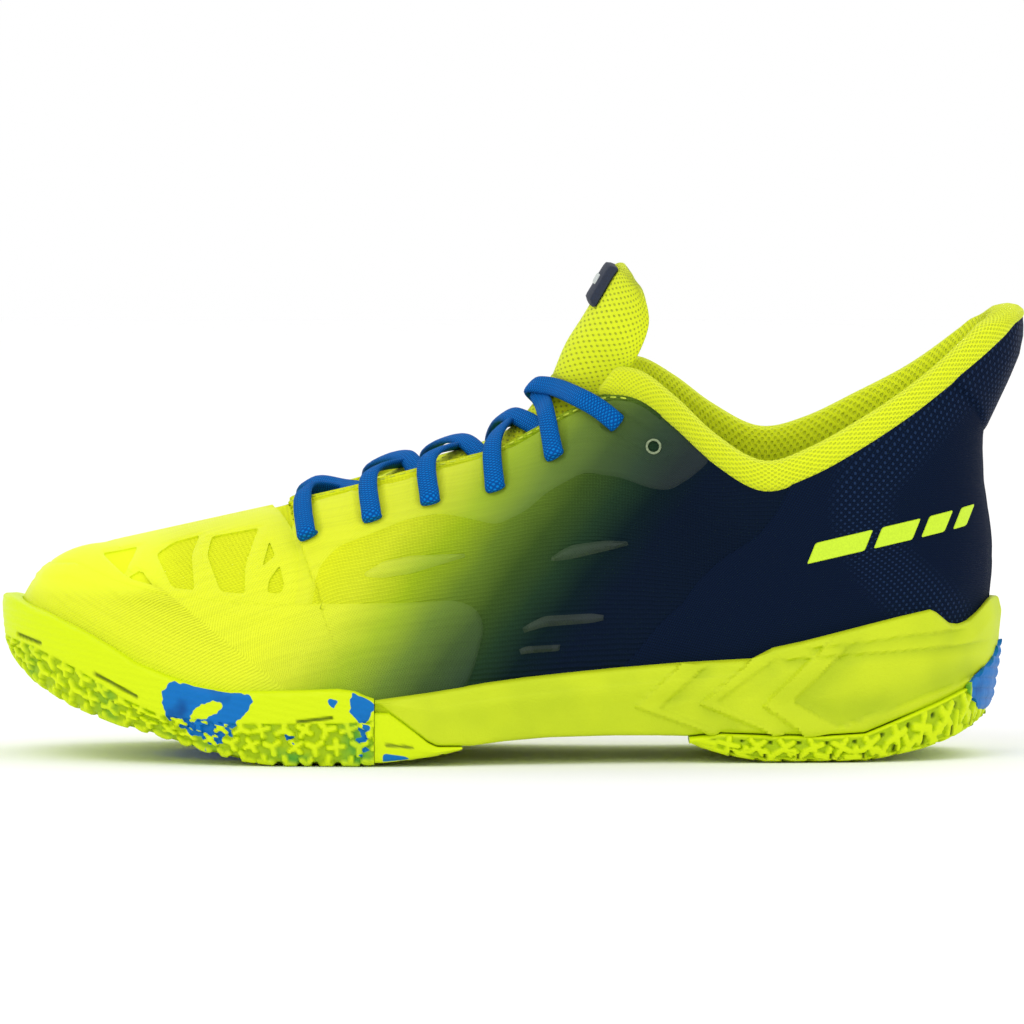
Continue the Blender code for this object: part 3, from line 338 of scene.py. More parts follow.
wallNormals = -gridNormals(wall, True)
if wallNormals[toeColumn - 120, 10, 1] > 0:
    wallNormals = -wallNormals
for k in range(1, 66):  # both sides share one direction on the ridge of the vamp
    shared = wallNormals[toeColumn - k, -1] + wallNormals[toeColumn + k, -1]
    shared = shared / np.linalg.norm(shared)
    wallNormals[toeColumn - k, -1] = wallNormals[toeColumn + k, -1] = shared
wallNormals[toeColumn, -1] = wallNormals[toeColumn + 1, -1]
uTable = runOf(wall[:, wallRows // 3])
uTable -= uTable[toeColumn]
heights = np.linalg.norm(np.diff(wall, axis=1), axis=2).sum(axis=1)
uMin, uMax = uTable[0], uTable[-1]


def lookup(data, u, s):
    fu = np.interp(u, uTable, np.arange(len(uTable)))
    fs = np.clip(s, 0, 1) * wallRows
    i = np.minimum(fu.astype(int), len(uTable) - 2)
    j = np.minimum(fs.astype(int), wallRows - 1)
    a, b = (fu - i)[..., None], (fs - j)[..., None]
    low = data[i, j] * (1 - a) + data[i + 1, j] * a
    high = data[i, j + 1] * (1 - a) + data[i + 1, j + 1] * a
    return low * (1 - b) + high * b


def surf(u, s, d=0.0):
    u, s, d = np.broadcast_arrays(np.asarray(u, float), np.asarray(s, float),
                                  np.asarray(d, float))
    n = lookup(wallNormals, u, s)
    n /= np.linalg.norm(n, axis=-1, keepdims=True)
    return lookup(wall, u, s) + n * d[..., None]


def wallHeight(u):
    return np.interp(u, uTable, heights)


def uAt(side, t):
    k = np.interp(t, sampleT, np.arange(len(sampleT)))
    return float(np.interp(toeColumn + (-k if side == "L" else k), np.arange(len(uTable)), uTable))


def locate(side, points):  # where on the wall a place shows from the side; gives (u, v)
    keep = slice(0, toeColumn + 1) if side == "L" else slice(toeColumn, len(uTable))
    grid = wall[keep][:, :, [0, 2]]
    us = uTable[keep]
    out = []
    for x, z in points:
        gap = ((grid - (x, z)) ** 2).sum(axis=2)
        i, j = np.unravel_index(np.argmin(gap), gap.shape)
        u, s = us[i], shares[j]
        for _ in range(8):
            p = surf(u, s)[[0, 2]]
            du = (surf(u + 0.3, s)[[0, 2]] - surf(u - 0.3, s)[[0, 2]]) / 0.6
            ds = (surf(u, s + 0.006)[[0, 2]] - surf(u, s - 0.006)[[0, 2]]) / 0.012
            jac = np.stack([du, ds], axis=1)
            move = np.linalg.solve(jac.T @ jac + np.diag([0.01, 4.0]), jac.T @ ((x, z) - p))
            u = float(np.clip(u + np.clip(move[0], -4, 4), us[0], us[-1]))
            s = float(np.clip(s + np.clip(move[1], -0.1, 0.1), 0, 1))
        out.append((u, s * wallHeight(u)))
    return np.array(out)


def onWall(uv, d=0.0):
    return surf(uv[:, 0], uv[:, 1] / wallHeight(uv[:, 0]), d)


# Piece makers

def clearSelection():
    if bpy.context.object and bpy.context.object.mode != "OBJECT":
        bpy.ops.object.mode_set(mode="OBJECT")
    bpy.ops.object.select_all(action="DESELECT")


def pick(obj):
    clearSelection()
    obj.select_set(True)
    bpy.context.view_layer.objects.active = obj


def weld(obj, gap, fill=False):  # joins corners closer than the gap, in millimetres
    pick(obj)
    bpy.ops.object.mode_set(mode="EDIT")
    bpy.ops.mesh.select_all(action="SELECT")
    bpy.ops.mesh.remove_doubles(threshold=gap * mm)
    if fill:
        bpy.ops.mesh.fill_holes(sides=0)
    bpy.ops.mesh.select_all(action="SELECT")
    bpy.ops.mesh.normals_make_consistent(inside=False)
    bpy.ops.object.mode_set(mode="OBJECT")


def turnOut(obj):  # faces of a closed piece look outward
    bm = bmesh.new()
    bm.from_mesh(obj.data)
    total = bm.calc_volume(signed=True)
    bm.free()
    if total < 0:
        obj.data.flip_normals()


def faceLateral(obj, near):  # the face nearest this place looks to the lateral side
    probe = min(obj.data.polygons, key=lambda p: (Vector(p.center) - Vector(near)).length)
    if probe.normal.y > 0:
        obj.data.flip_normals()


def thicken(obj, thick):  # inward, in millimetres
    pick(obj)
    mod = obj.modifiers.new("solidify", "SOLIDIFY")
    mod.thickness = thick * mm
    mod.offset = -1
    bpy.ops.object.modifier_apply(modifier=mod.name)


def wear(obj, finish, body, replaced=(), angle=50):
    obj.data.materials.clear()
    obj.data.materials.append(finish.mat)
    pick(obj)
    bpy.ops.object.shade_smooth_by_angle(angle=math.radians(angle))
    if body in ("rear", "forefoot", "tongue_top"):
        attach(obj, body)
    elif body == "vamp":  # fabric over the vamp, its transform baked into the mesh
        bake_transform(obj)
    elif body == "fold":
        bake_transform(obj)
    if replaced:
        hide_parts(*replaced)


def sheetPiece(name, across, up, shape, uv=None, marks=None):
    # a grid primitive whose corners are moved to shape(a, b), a and b from 0 to 1
    clearSelection()
    bpy.ops.mesh.primitive_grid_add(x_subdivisions=across, y_subdivisions=up, size=1)
    obj = bpy.context.object
    obj.name = obj.data.name = name
    mesh = obj.data
    flat = np.zeros(len(mesh.vertices) * 3)
    mesh.vertices.foreach_get("co", flat)
    ab = np.clip(flat.reshape(-1, 3)[:, :2] + 0.5, 0, 1)
    points = shape(ab[:, 0], ab[:, 1])
    mesh.vertices.foreach_set("co", (points * mm).ravel())
    for key, values in (marks(ab[:, 0], ab[:, 1], points) if marks else {}).items():
        mesh.attributes.new(key, "FLOAT", "POINT").data.foreach_set("value", values)
    corner = np.zeros(len(mesh.loops), int)
    mesh.loops.foreach_get("vertex_index", corner)
    laid = (uv(ab[:, 0], ab[:, 1]) if uv else ab * 0.1)[corner]
    mesh.uv_layers[0].name = "UVMap"
    mesh.uv_layers[0].data.foreach_set("uv", laid.ravel())
    mesh.update()
    return obj


def meshFrom(name, points, faces, uv=None):
    mesh = bpy.data.meshes.new(name)
    mesh.from_pydata([tuple(p * mm) for p in points], [], faces)
    obj = bpy.data.objects.new(name, mesh)
    scene.collection.objects.link(obj)
    if uv is not None:
        corner = np.zeros(len(mesh.loops), int)
        mesh.loops.foreach_get("vertex_index", corner)
        mesh.uv_layers.new(name="UVMap").data.foreach_set("uv", uv[corner].ravel())
    mesh.update()
    return obj


def evenUV(wide, high):  # a flat pattern of this size, in millimetres
    return lambda a, b: np.stack([a * wide, b * high], axis=1) * mm


def wallUV(spread):  # the flat pattern of a piece that lies on the wall
    def uv(a, b):
        u, s = spread(a, b)
        return np.stack([u, s * wallHeight(u)], axis=1) * mm

    return uv


def inside(points, loop):
    x, y = points[:, 0][:, None], points[:, 1][:, None]
    a, b = loop, np.roll(loop, -1, axis=0)
    cross = ((a[:, 1] > y) != (b[:, 1] > y))
    fall = b[:, 1] - a[:, 1]
    slope = (b[:, 0] - a[:, 0]) / np.where(np.abs(fall) < 1e-9, 1e-9, fall)
    return (cross & (x < a[:, 0] + slope * (y - a[:, 1]))).sum(axis=1) % 2 == 1


def lineDistance(points, line, closed=False):
    a = line if closed else line[:-1]
    b = np.roll(line, -1, axis=0) if closed else line[1:]
    best = np.full(len(points), 1e9)
    side = np.zeros(len(points))
    for p, q in zip(a, b):
        along = q - p
        size = max(along @ along, 1e-12)
        f = np.clip(((points - p) @ along) / size, 0, 1)
        gap = points - p - f[:, None] * along
        dist = np.hypot(gap[:, 0], gap[:, 1])
        near = dist < best - 1e-9
        best[near] = dist[near]
        turn = along[0] * (points[:, 1] - p[1]) - along[1] * (points[:, 0] - p[0])
        side[near] = np.sign(turn[near])
    return best, side


def ease(x, low, high):
    t = np.clip((x - low) / (high - low), 0, 1)
    return t * t * (3 - 2 * t)


def resample(loop, step, closed=True):
    pts = np.vstack([loop, loop[:1]]) if closed else np.asarray(loop, float)
    run = runOf(pts)
    count = max(4, int(run[-1] / step))
    goal = np.linspace(0, run[-1], count, endpoint=not closed)
    return readRows(goal, run, pts)


def rounded(loop, radius=1.5, closed=True):  # corners softened, the drawn line kept
    pts = resample(np.array(loop, float), 0.5, closed)
    reach = max(1, int(radius / 0.5))
    kernel = np.ones(2 * reach + 1) / (2 * reach + 1)
    out = pts.copy()
    for k in range(pts.shape[1]):
        if closed:
            ring = np.concatenate([pts[-reach:, k], pts[:, k], pts[:reach, k]])
            out[:, k] = np.convolve(ring, kernel, "valid")
        else:
            ring = np.concatenate([np.full(reach, pts[0, k]), pts[:, k], np.full(reach, pts[-1, k])])
            out[reach:-reach, k] = np.convolve(ring, kernel, "valid")[reach:-reach]
    return out


# layers on the wall, in millimetres: point spacing, height of the face and of its edge
# over the wall, width of the slope between them, thickness
filmLook = {
    "rand": {"step": 1.3, "lift": 0.5, "sunk": -0.15, "taper": 1.0, "thick": 0.8},
    "web": {"step": 1.2, "lift": 0.32, "sunk": -0.06, "taper": 1.5, "thick": 0.6},
    "stiffener": {"step": 2.2, "lift": -1.6, "sunk": -1.6, "taper": 1.0, "thick": 0.8},
    "stay": {"step": 1.0, "lift": 0.55, "sunk": -0.12, "taper": 1.1, "thick": 0.9},
    "blade": {"step": 0.8, "lift": 0.7, "sunk": -0.3, "taper": 0.9, "thick": 1.0},
    "mark": {"step": 1.2, "lift": 0.75, "sunk": 0.2, "taper": 0.4, "thick": 0.5}}


def film(name, loop, holes, kind, relief=None):
    # a thin layer on the wall, cut to a loop of (u, v) places, with holes
    look = filmLook[kind]
    step, taper = look["step"], look["taper"]
    loop = resample(loop, step * 0.7)
    holes = [resample(h, step * 0.6) for h in holes]
    low, high = loop.min(axis=0), loop.max(axis=0)
    gu, gv = np.meshgrid(np.arange(low[0], high[0], step), np.arange(low[1], high[1], step))
    gu = gu + (np.arange(gu.shape[0])[:, None] % 2) * step / 2
    cloud = np.stack([gu.ravel(), gv.ravel()], axis=1)
    cloud = cloud[inside(cloud, loop)]
    loops = [loop] + holes
    for ring in loops:
        cloud = cloud[lineDistance(cloud, ring, True)[0] > step * 0.45]
    rim = []
    for ring in loops:  # one row of points just inside each edge, where the taper ends
        along = np.roll(ring, -1, axis=0) - np.roll(ring, 1, axis=0)
        along /= np.maximum(np.linalg.norm(along, axis=1, keepdims=True), 1e-9)
        normal = np.stack([-along[:, 1], along[:, 0]], axis=1) * taper
        for way in (1, -1):
            row = ring + normal * way
            keep = inside(row, loop)
            for h in holes:
                keep &= ~inside(row, h)
            for other in loops:
                keep &= lineDistance(row, other, True)[0] > taper * 0.8
            rim.append(row[keep])
    rim = np.vstack(rim)
    far = np.ones(len(cloud), bool)
    for ring in loops:
        far &= lineDistance(cloud, ring, True)[0] > taper + step * 0.4
    for h in holes:
        far &= ~inside(cloud, h)
    cloud = np.vstack([rim, cloud[far]])
    points, edges = list(cloud), []
    for ring in loops:
        base = len(points)
        points += list(ring)
        edges += [(base + k, base + (k + 1) % len(ring)) for k in range(len(ring))]
    verts, _, faces, *_ = geometry.delaunay_2d_cdt([Vector(p) for p in points], edges, [], 0, 0.01)
    verts = np.array([tuple(v) for v in verts])
    faces = np.array([f for f in faces if len(f) == 3])
    mids = verts[faces].mean(axis=1)
    keep = inside(mids, loop)
    for h in holes:
        keep &= ~inside(mids, h)
    faces = faces[keep]
    used = np.unique(faces)
    index = np.full(len(verts), -1)
    index[used] = np.arange(len(used))
    verts, faces = verts[used], index[faces]
    edge = np.min([lineDistance(verts, ring, True)[0] for ring in loops], axis=0)
    d = look["sunk"] + (look["lift"] - look["sunk"]) * ease(edge, 0.0, taper)
    if relief:
        d = d + relief(verts, edge)
    places = onWall(verts, d)
    obj = meshFrom(name, places, [tuple(int(k) for k in f) for f in faces], verts * mm)
    out = lookup(wallNormals, verts[:, 0], verts[:, 1] / wallHeight(verts[:, 0]))
    first = obj.data.polygons[0]
    if np.array(first.normal) @ out[first.vertices[0]] < 0:
        obj.data.flip_normals()
    thicken(obj, look["thick"])
    return obj


# Finishes

knitStops = [
    (-52.8, tone(236, 246, 38)), (-38.3, tone(220, 233, 46)), (-23.8, tone(164, 192, 33)),
    (-9.3, tone(104, 133, 43)), (2.3, tone(62, 88, 36)), (13.9, tone(37, 62, 41)),
    (25.5, tone(16, 34, 39)), (37.1, tone(13, 26, 46))]
# the darker rubber, navy and lace tones and the dark slit tone are painted shade for hollows, grooves,
# cuts and holes; the darker foam tone is partly the foam's own mottling and partly painted shade in its
# creases
colors = {
    "lime": tone(232, 245, 28), "rubber": tone(214, 236, 10),
    "rubberDeep": tone(160, 190, 8), "foam": tone(204, 222, 16), "foamDeep": tone(176, 198, 8),
    "navy": tone(12, 34, 66), "navyDeep": tone(5, 15, 34), "blue": tone(6, 112, 190),
    "blueDeep": tone(2, 70, 140), "lace": tone(8, 130, 216), "laceDeep": tone(2, 74, 150),
    "mix": tone(60, 160, 60), "slit": tone(20, 60, 30), "pale": tone(120, 134, 104)}


def fade(f):  # lime at the toe turning to navy at the heel, along a slanting line
    x, _, z = f.split(f.place())
    wander = f.noise(f.place(), 0.05) * 6.0
    return f.ramp(x - z * 0.8 + 43.0 + wander, knitStops, -60, 45)


def calm(f):  # no pattern where the wall's columns run together at the toe
    x, _, z = f.split(f.place())
    return 1 - (1 - x.step(-110, -94)) * z.step(45, 51)


def knitFinish():
    f = Finish("ribbedKnit", (0, 0, 0), 0.85)
    u, v, _ = f.split(f.place("UV"))
    sway = f.noise(f.place("UV"), 0.25) * 0.5
    rib = (v + sway).wave(1.1)
    loop = (u + rib * 0.3).wave(0.85)
    base, still = fade(f), calm(f)
    # painted shade: the knit's colour is multiplied darker in the rib valleys and, a little, between the
    # stitch loops, where shade falls
    dark = ((1 - rib.step(0.05, 0.75)) * 0.13 + (1 - loop) * 0.05) * still
    f.put("Base Color", f.mix(dark, base, tone(150, 160, 120), "MULTIPLY"))
    f.put("Specular IOR Level", 0.04)
    f.bump((rib * 0.8 + loop * 0.25) * still, 0.4)
    return f


def filmFinish(name, rough, frost, grain):
    f = Finish(name, (0, 0, 0), rough)
    u, v, _ = f.split(f.place("UV"))
    base, still = fade(f), calm(f)
    cross = (u + v).wave(grain) * (u - v).wave(grain)
    tint = f.mix(frost, base, colors["pale"])
    lines = f.noise(f.join(u * 0.03, v * 0.9, 0.0), 1.0, 3.0).step(0.35, 0.75)
    dark = (cross * 0.14 + lines * 0.12) * still
    f.put("Base Color", f.mix(dark, tint, tone(170, 180, 120), "MULTIPLY"))
    f.put("Specular IOR Level", 0.16)
    f.put("Roughness", rough + cross * 0.1)
    f.bump(cross * still, 0.12)
    return f


def heelFinish():
    f = Finish("heelTwill", colors["navy"], 0.8)
    u, v, _ = f.split(f.place("UV"))
    weave = (u + v * 0.7).wave(0.75)
    thread = (v - u * 0.2).wave(0.62)
    spots = ((u * (math.pi / 1.15)).op("COSINE") * (v * (math.pi / 1.15)).op("COSINE"))
    dots = spots.step(0.25, 0.6) * f.attribute("dots")
    # painted shade: the twill goes darker in the hollows of the weave and threads and lighter on their
    # raised tops, following the bump
    tint = f.mix(weave * 0.35 + thread * 0.2, colors["navyDeep"], colors["navy"])
    f.put("Base Color", f.mix(dots * 0.6, tint, tone(34, 58, 98)))
    f.put("Specular IOR Level", 0.06)
    f.bump(weave * 0.25 + thread * 0.2 + dots * 1.3, 0.35)
    f.put("Roughness", 0.78 - dots * 0.3)
    return f


def meshFinish(name, light, deep, pitchU, pitchV, low, high, rough=0.85):
    f = Finish(name, light, rough)
    u, v, _ = f.split(f.place("UV"))
    cells = (u * (math.pi / pitchU)).op("COSINE") * (v * (math.pi / pitchV)).op("COSINE")
    hole = cells.step(low, high)
    yarn = (u * 1.0 + v * 0.4).wave(0.5)
    # painted shade: the mesh holes are mixed halfway to the deep tone, for the shade inside them
    f.put("Base Color", f.mix(hole * 0.5 + yarn * 0.08, light, deep))
    f.put("Specular IOR Level", 0.2)
    f.put("Sheen Weight", 0.1)
    f.bump(yarn * 0.15 - hole, 0.5)
    return f


def rubberFinish(name):
    f = Finish(name, colors["rubber"], 0.42)
    at = f.place()
    grain = f.noise(at, 0.9, 3.0)
    # painted shade: the deep attribute darkens the rubber in the hollows between the lugs and in the
    # tread grooves
    base = f.mix(f.attribute("deep"), colors["rubber"], colors["rubberDeep"])
    swirl = f.noise(at, 0.12, 2.0)
    green = (f.attribute("green") * swirl.step(0.42, 0.6))
    base = f.mix(green * 0.8, base, colors["mix"])
    painted = f.attribute("blue").step(0.4, 0.6)
    base = f.mix(painted, base, f.mix(swirl.step(0.1, 0.5), colors["blueDeep"], colors["blue"]))
    # painted shade: a dark green tone is painted into the slits, cuts, pin holes and grooves, where
    # shade falls
    f.put("Base Color", f.mix(f.attribute("slit"), base, colors["slit"]))
    f.put("Roughness", 0.36 + grain * 0.2)
    f.put("Specular IOR Level", 0.16)
    f.bump(grain, 0.12)
    return f


def foamFinish():
    f = Finish("mouldedFoam", colors["foam"], 0.55)
    at = f.place()
    skin = f.noise(at, 2.2, 3.0)
    cloud = f.noise(at, 0.05, 2.0)
    # the foam's darker tone comes half from random mottling, its own colour, and half from painted shade
    # in the creases
    f.put("Base Color", f.mix(cloud.step(0.3, 0.75) * 0.5 + f.attribute("deep") * 0.5,
                              colors["foam"], colors["foamDeep"]))
    f.put("Roughness", 0.5 + skin * 0.15)
    f.put("Specular IOR Level", 0.35)
    f.bump(skin, 0.1)
    return f


def laceFinish():
    f = Finish("wovenLace", colors["lace"], 0.7)
    u, v, _ = f.split(f.place("UV"))
    left = (u + v * 0.9).wave(1.0)
    right = (u - v * 0.9).wave(1.0)
    weave = left * right
    # painted shade: the lace goes darker in the hollows of its weave
    f.put("Base Color", f.mix(weave.step(0.05, 0.5), colors["laceDeep"], colors["lace"]))
    f.put("Specular IOR Level", 0.06)
    f.bump(weave, 0.35)
    return f


def plainFinish(name, light, deep, rough, scale, depth, coat=0.0):
    f = Finish(name, light, rough)
    speck = f.noise(f.place(), scale, 3.0)
    f.put("Base Color", f.mix(speck.step(0.3, 0.7), deep, light))
    f.put("Roughness", rough - 0.06 + speck * 0.12)
    f.put("Coat Weight", coat)
    f.bump(speck, depth)
    return f


finishes = {
    "knit": knitFinish(), "rand": filmFinish("randFilm", 0.42, 0.02, 0.9),
    "stay": filmFinish("eyestayFilm", 0.34, 0.04, 0.7),
    "blade": filmFinish("bladeFilm", 0.3, 0.11, 0.8), "heel": heelFinish(),
    "collar": meshFinish("collarMesh", colors["lime"], tone(196, 214, 16), 1.0, 1.5, 0.2, 0.7),
    "tongue": meshFinish("tongueMesh", tone(228, 242, 24), tone(120, 138, 10), 1.1, 1.1, 0.45, 0.8),
    "rubber": rubberFinish("mouldedRubber"), "foam": foamFinish(), "lace": laceFinish(),
    "stitch": plainFinish("sewingThread", tone(214, 230, 60), tone(180, 200, 40), 0.6, 3.0, 0.1),
    "label": plainFinish("wovenLabel", tone(24, 38, 62), tone(14, 24, 44), 0.7, 2.5, 0.1),
    "mark": plainFinish("printedMark", tone(206, 240, 30), tone(196, 230, 24), 0.5, 2.0, 0.05),
    "pale": plainFinish("paleThread", tone(206, 212, 208), tone(184, 190, 188), 0.7, 2.5, 0.1),
    "clear": plainFinish("aglet", tone(190, 214, 60), tone(176, 200, 50), 0.2, 1.0, 0.02, 0.5),
    "board": plainFinish("fibreBoard", tone(150, 140, 122), tone(128, 118, 100), 0.9, 1.5, 0.1),
    "grommet": plainFinish("grommet", tone(150, 164, 128), tone(112, 128, 92), 0.4, 2.0, 0.1),
    "insert": rubberFinish("insertRubber")}
print("finishes ready")


# Knit upper and heel panel

seamL = [(82, 83), (80, 80.2), (64.7, 61.3), (49, 45.7), (35.7, 31.8), (32.2, 28), (28, 22)]
seamAt = {}
for side in "LM":
    uv = locate(side, seamL)
    s = uv[:, 1] / wallHeight(uv[:, 0])
    order = np.argsort(s)
    seamAt[side] = (s[order], uv[order, 0])


def seamU(side, s):
    return np.interp(s, *seamAt[side])


knitLook = {"thickness": 1.3, "underSeam": 3.0, "acrossCells": 440, "upCells": 60}


def knitShape(a, b):
    left = seamU("L", b) - knitLook["underSeam"]
    right = seamU("M", b) + knitLook["underSeam"]
    return left + (right - left) * a, b


def makeKnit():
    def shape(a, b):
        u, s = knitShape(a, b)
        return surf(u, s, -0.05)

    obj = sheetPiece("upper_knit", knitLook["acrossCells"], knitLook["upCells"], shape,
                     wallUV(knitShape))
    weld(obj, 0.05)
    faceLateral(obj, (0, -0.045, 0.045))
    thicken(obj, knitLook["thickness"])
    wear(obj, finishes["knit"], "vamp",
         ("toe_box_knit", "vamp_flex", "quarter_lateral", "quarter_medial"))


makeKnit()

heelLook = {"lift": 0.45, "sunk": -0.4, "edge": 0.9, "tabLift": 0.55, "dotWidth": 11.0,
            "thickness": 1.1}
dotLine = spline([(127, 108), (112, 92), (101, 76), (106, 58), (124, 40)])
tabSeam = spline([(126.7, 108.6), (133.4, 101.4), (136.3, 94.1), (139, 84)])


def makeHeelPanel():
    def spread(a, b):
        left, right = seamU("L", b), seamU("M", b)
        go = (uMax - right) / (left - uMin + uMax - right)
        u = np.where(a < 1 - go, left + (uMin - left) * a / (1 - go),
                     uMax - (uMax - right) * (a - (1 - go)) / go)
        return u, b

    def shape(a, b):
        u, s = spread(a, b)
        edge = np.minimum(np.abs(u - seamU("L", s)), np.abs(u - seamU("M", s)))
        flat = surf(u, s)
        seam, side = lineDistance(flat[:, [0, 2]], tabSeam)
        tab = ease(side * seam, -0.9, 0.4) * (flat[:, 2] > 92)
        d = (heelLook["sunk"] + (heelLook["lift"] - heelLook["sunk"]) * ease(edge, 0.0, heelLook["edge"])
             + heelLook["tabLift"] * tab)
        return surf(u, s, d - 0.5 * np.exp(-(seam / 0.5) ** 2) * (flat[:, 2] > 90))

    def marks(a, b, points):
        flat = points[:, [0, 2]]
        near, _ = lineDistance(flat, dotLine)
        seam, side = lineDistance(flat, tabSeam)
        tab = (side > 0) & (points[:, 2] > 92)
        return {"dots": np.maximum(1 - ease(near, 5.0, heelLook["dotWidth"]), tab * 0.8)}

    obj = sheetPiece("heel_shell", 320, 110, shape, wallUV(spread), marks)
    weld(obj, 0.03)
    faceLateral(obj, (0.09, -0.04, 0.05))
    thicken(obj, heelLook["thickness"])
    wear(obj, finishes["heel"], "rear", ("heel_panel",))


makeHeelPanel()


def edgeU(a, t0, t1):  # runs along the throat: lateral t1 to t0, then medial t0 to t1
    left = np.interp(np.linspace(t1, t0, 200), sampleT, np.arange(len(sampleT)))
    uLeft = np.interp(toeColumn - left, np.arange(len(uTable)), uTable)
    uRight = np.interp(toeColumn + left[::-1], np.arange(len(uTable)), uTable)
    line = np.concatenate([uLeft, uRight])
    return line[np.round(a * 399).astype(int)]


def makeBinding():
    spots = [0, 0.1, 0.4, 0.5, 0.58, 0.68, 1]
    below = [3.4, 3.1, 0.5, 0, 0.0, 0.6, 9]
    out = [-0.2, 0.35, 0.45, 0.0, -0.8, -1.5, -1.7]

    def spread(a, b):
        u = edgeU(a, 2.3, 12.6)
        return u, 1 - np.interp(b, spots, below) / wallHeight(u)

    def shape(a, b):
        return surf(*spread(a, b), np.interp(b, spots, out))

    obj = sheetPiece("throat_binding", 300, 26, shape, wallUV(spread))
    wear(obj, finishes["knit"], "vamp", ())


makeBinding()


def capsules(name, starts, ends, normals, radius, finish, body):  # one stitch each
    points, faces = [], []
    sides, rings = 6, [(0.0, 0.35), (0.12, 0.85), (0.5, 1.0), (0.88, 0.85), (1.0, 0.35)]
    for p, q, n in zip(starts, ends, normals):
        along = (q - p) / np.linalg.norm(q - p)
        wide = np.cross(along, n)
        wide /= np.linalg.norm(wide)
        base = len(points)
        for f, size in rings:
            for k in range(sides):
                turn = 2 * math.pi * k / sides
                points.append(p + (q - p) * f + (wide * math.cos(turn) * 1.2
                              + n * math.sin(turn) * 0.8) * radius * size)
        for r in range(len(rings) - 1):
            for k in range(sides):
                a, b = base + r * sides + k, base + r * sides + (k + 1) % sides
                faces.append((a, b, b + sides, a + sides))
        faces.append(tuple(base + k for k in reversed(range(sides))))
        faces.append(tuple(base + (len(rings) - 1) * sides + k for k in range(sides)))
    obj = meshFrom(name, points, faces)
    weld(obj, 0.001)
    wear(obj, finish, body, angle=60)


stitchLook = {"inset": 2.2, "lift": 0.5, "length": 1.8, "pitch": 3.0, "radius": 0.22}


def stitchRow(name, us):  # a row of stitches a little below the throat edge
    line = resample(np.stack([us, wallHeight(us) - stitchLook["inset"]], axis=1), 0.25, False)
    run = runOf(onWall(line))
    begins = np.arange(0.5, run[-1] - stitchLook["length"], stitchLook["pitch"])
    first = readRows(begins, run, line)
    last = readRows(begins + stitchLook["length"], run, line)
    n = lookup(wallNormals, first[:, 0], first[:, 1] / wallHeight(first[:, 0]))
    capsules(name, onWall(first, stitchLook["lift"]), onWall(last, stitchLook["lift"]), n,
             stitchLook["radius"], finishes["stitch"], "vamp")


throat = edgeU(np.linspace(0.02, 0.98, 300), 2.6, 12.0)
stitchRow("throat_stitch_lateral", throat[throat < 0])
stitchRow("throat_stitch_medial", throat[throat > 0])
print("upper ready")


# Welded films

sideNames = {"L": "lateral", "M": "medial"}
randTop = [(-126, 55.4), (-120, 53.2), (-114.4, 51), (-97.8, 47.2), (-84, 46.2), (-70, 45.8),
           (-50, 45.9), (-27.7, 46.4), (-16.5, 47.0), (-11, 45.2), (-8.6, 42.2), (-7.9, 38.5),
           (-10.6, 28), (-13.3, 21)]


def makeRand():
    left = locate("L", rounded(randTop, 2.0, False)[::4])
    right = locate("M", rounded(randTop, 2.0, False)[::4])
    nose = []
    for k in range(1, 12):
        f = k / 12
        u = left[0, 0] + (right[0, 0] - left[0, 0]) * f
        share = ((1 - f) * left[0, 1] / wallHeight(left[0, 0])
                 + f * right[0, 1] / wallHeight(right[0, 0]))
        nose.append((u, (share - 0.06 * math.sin(math.pi * f)) * wallHeight(u)))
    top = np.vstack([left[::-1], nose, right])
    low = [(top[-1, 0], 0.5), (top[0, 0], 0.5)]
    loop = np.vstack([top, low])
    band = resample(top, 1.0, False)

    def relief(verts, edge):
        near, _ = lineDistance(verts, band)
        waves = 0.06 * np.sin(verts[:, 1] * 2.1) * ease(edge, 1, 4)
        return (0.4 * (1 - ease(near, 5.6, 7.0)) + waves) * ease(edge, 0.0, 0.8)

    obj = film("rand_film", loop, (), "rand", relief)
    wear(obj, finishes["rand"], "vamp", ("rand_film_front", "rand_film_lateral", "rand_film_medial"))
    return {"L": left, "M": right}, np.array(nose)


randLine, noseLine = makeRand()

windows = [
    [(-118.9, 57.6), (-107.9, 59.9), (-111.7, 52.1)],
    [(-110.8, 51.5), (-106.7, 54.1), (-102.7, 49.7)],
    [(-102.7, 58.1), (-97.7, 61.3), (-89.9, 63.4), (-92.2, 58.1), (-91.1, 48.6), (-97.7, 49.2)],
    [(-86.7, 63.1), (-72.8, 65.7), (-74, 63.1), (-76.6, 55.2), (-76.6, 47.8), (-83.8, 48.4),
     (-87.9, 58.1)],
    [(-71.9, 55.2), (-69.9, 62.5), (-67.9, 58.4)],
    [(-66.7, 56.1), (-65.2, 50.4), (-66.2, 48.0), (-70.4, 48.2), (-69.9, 51.9)]]


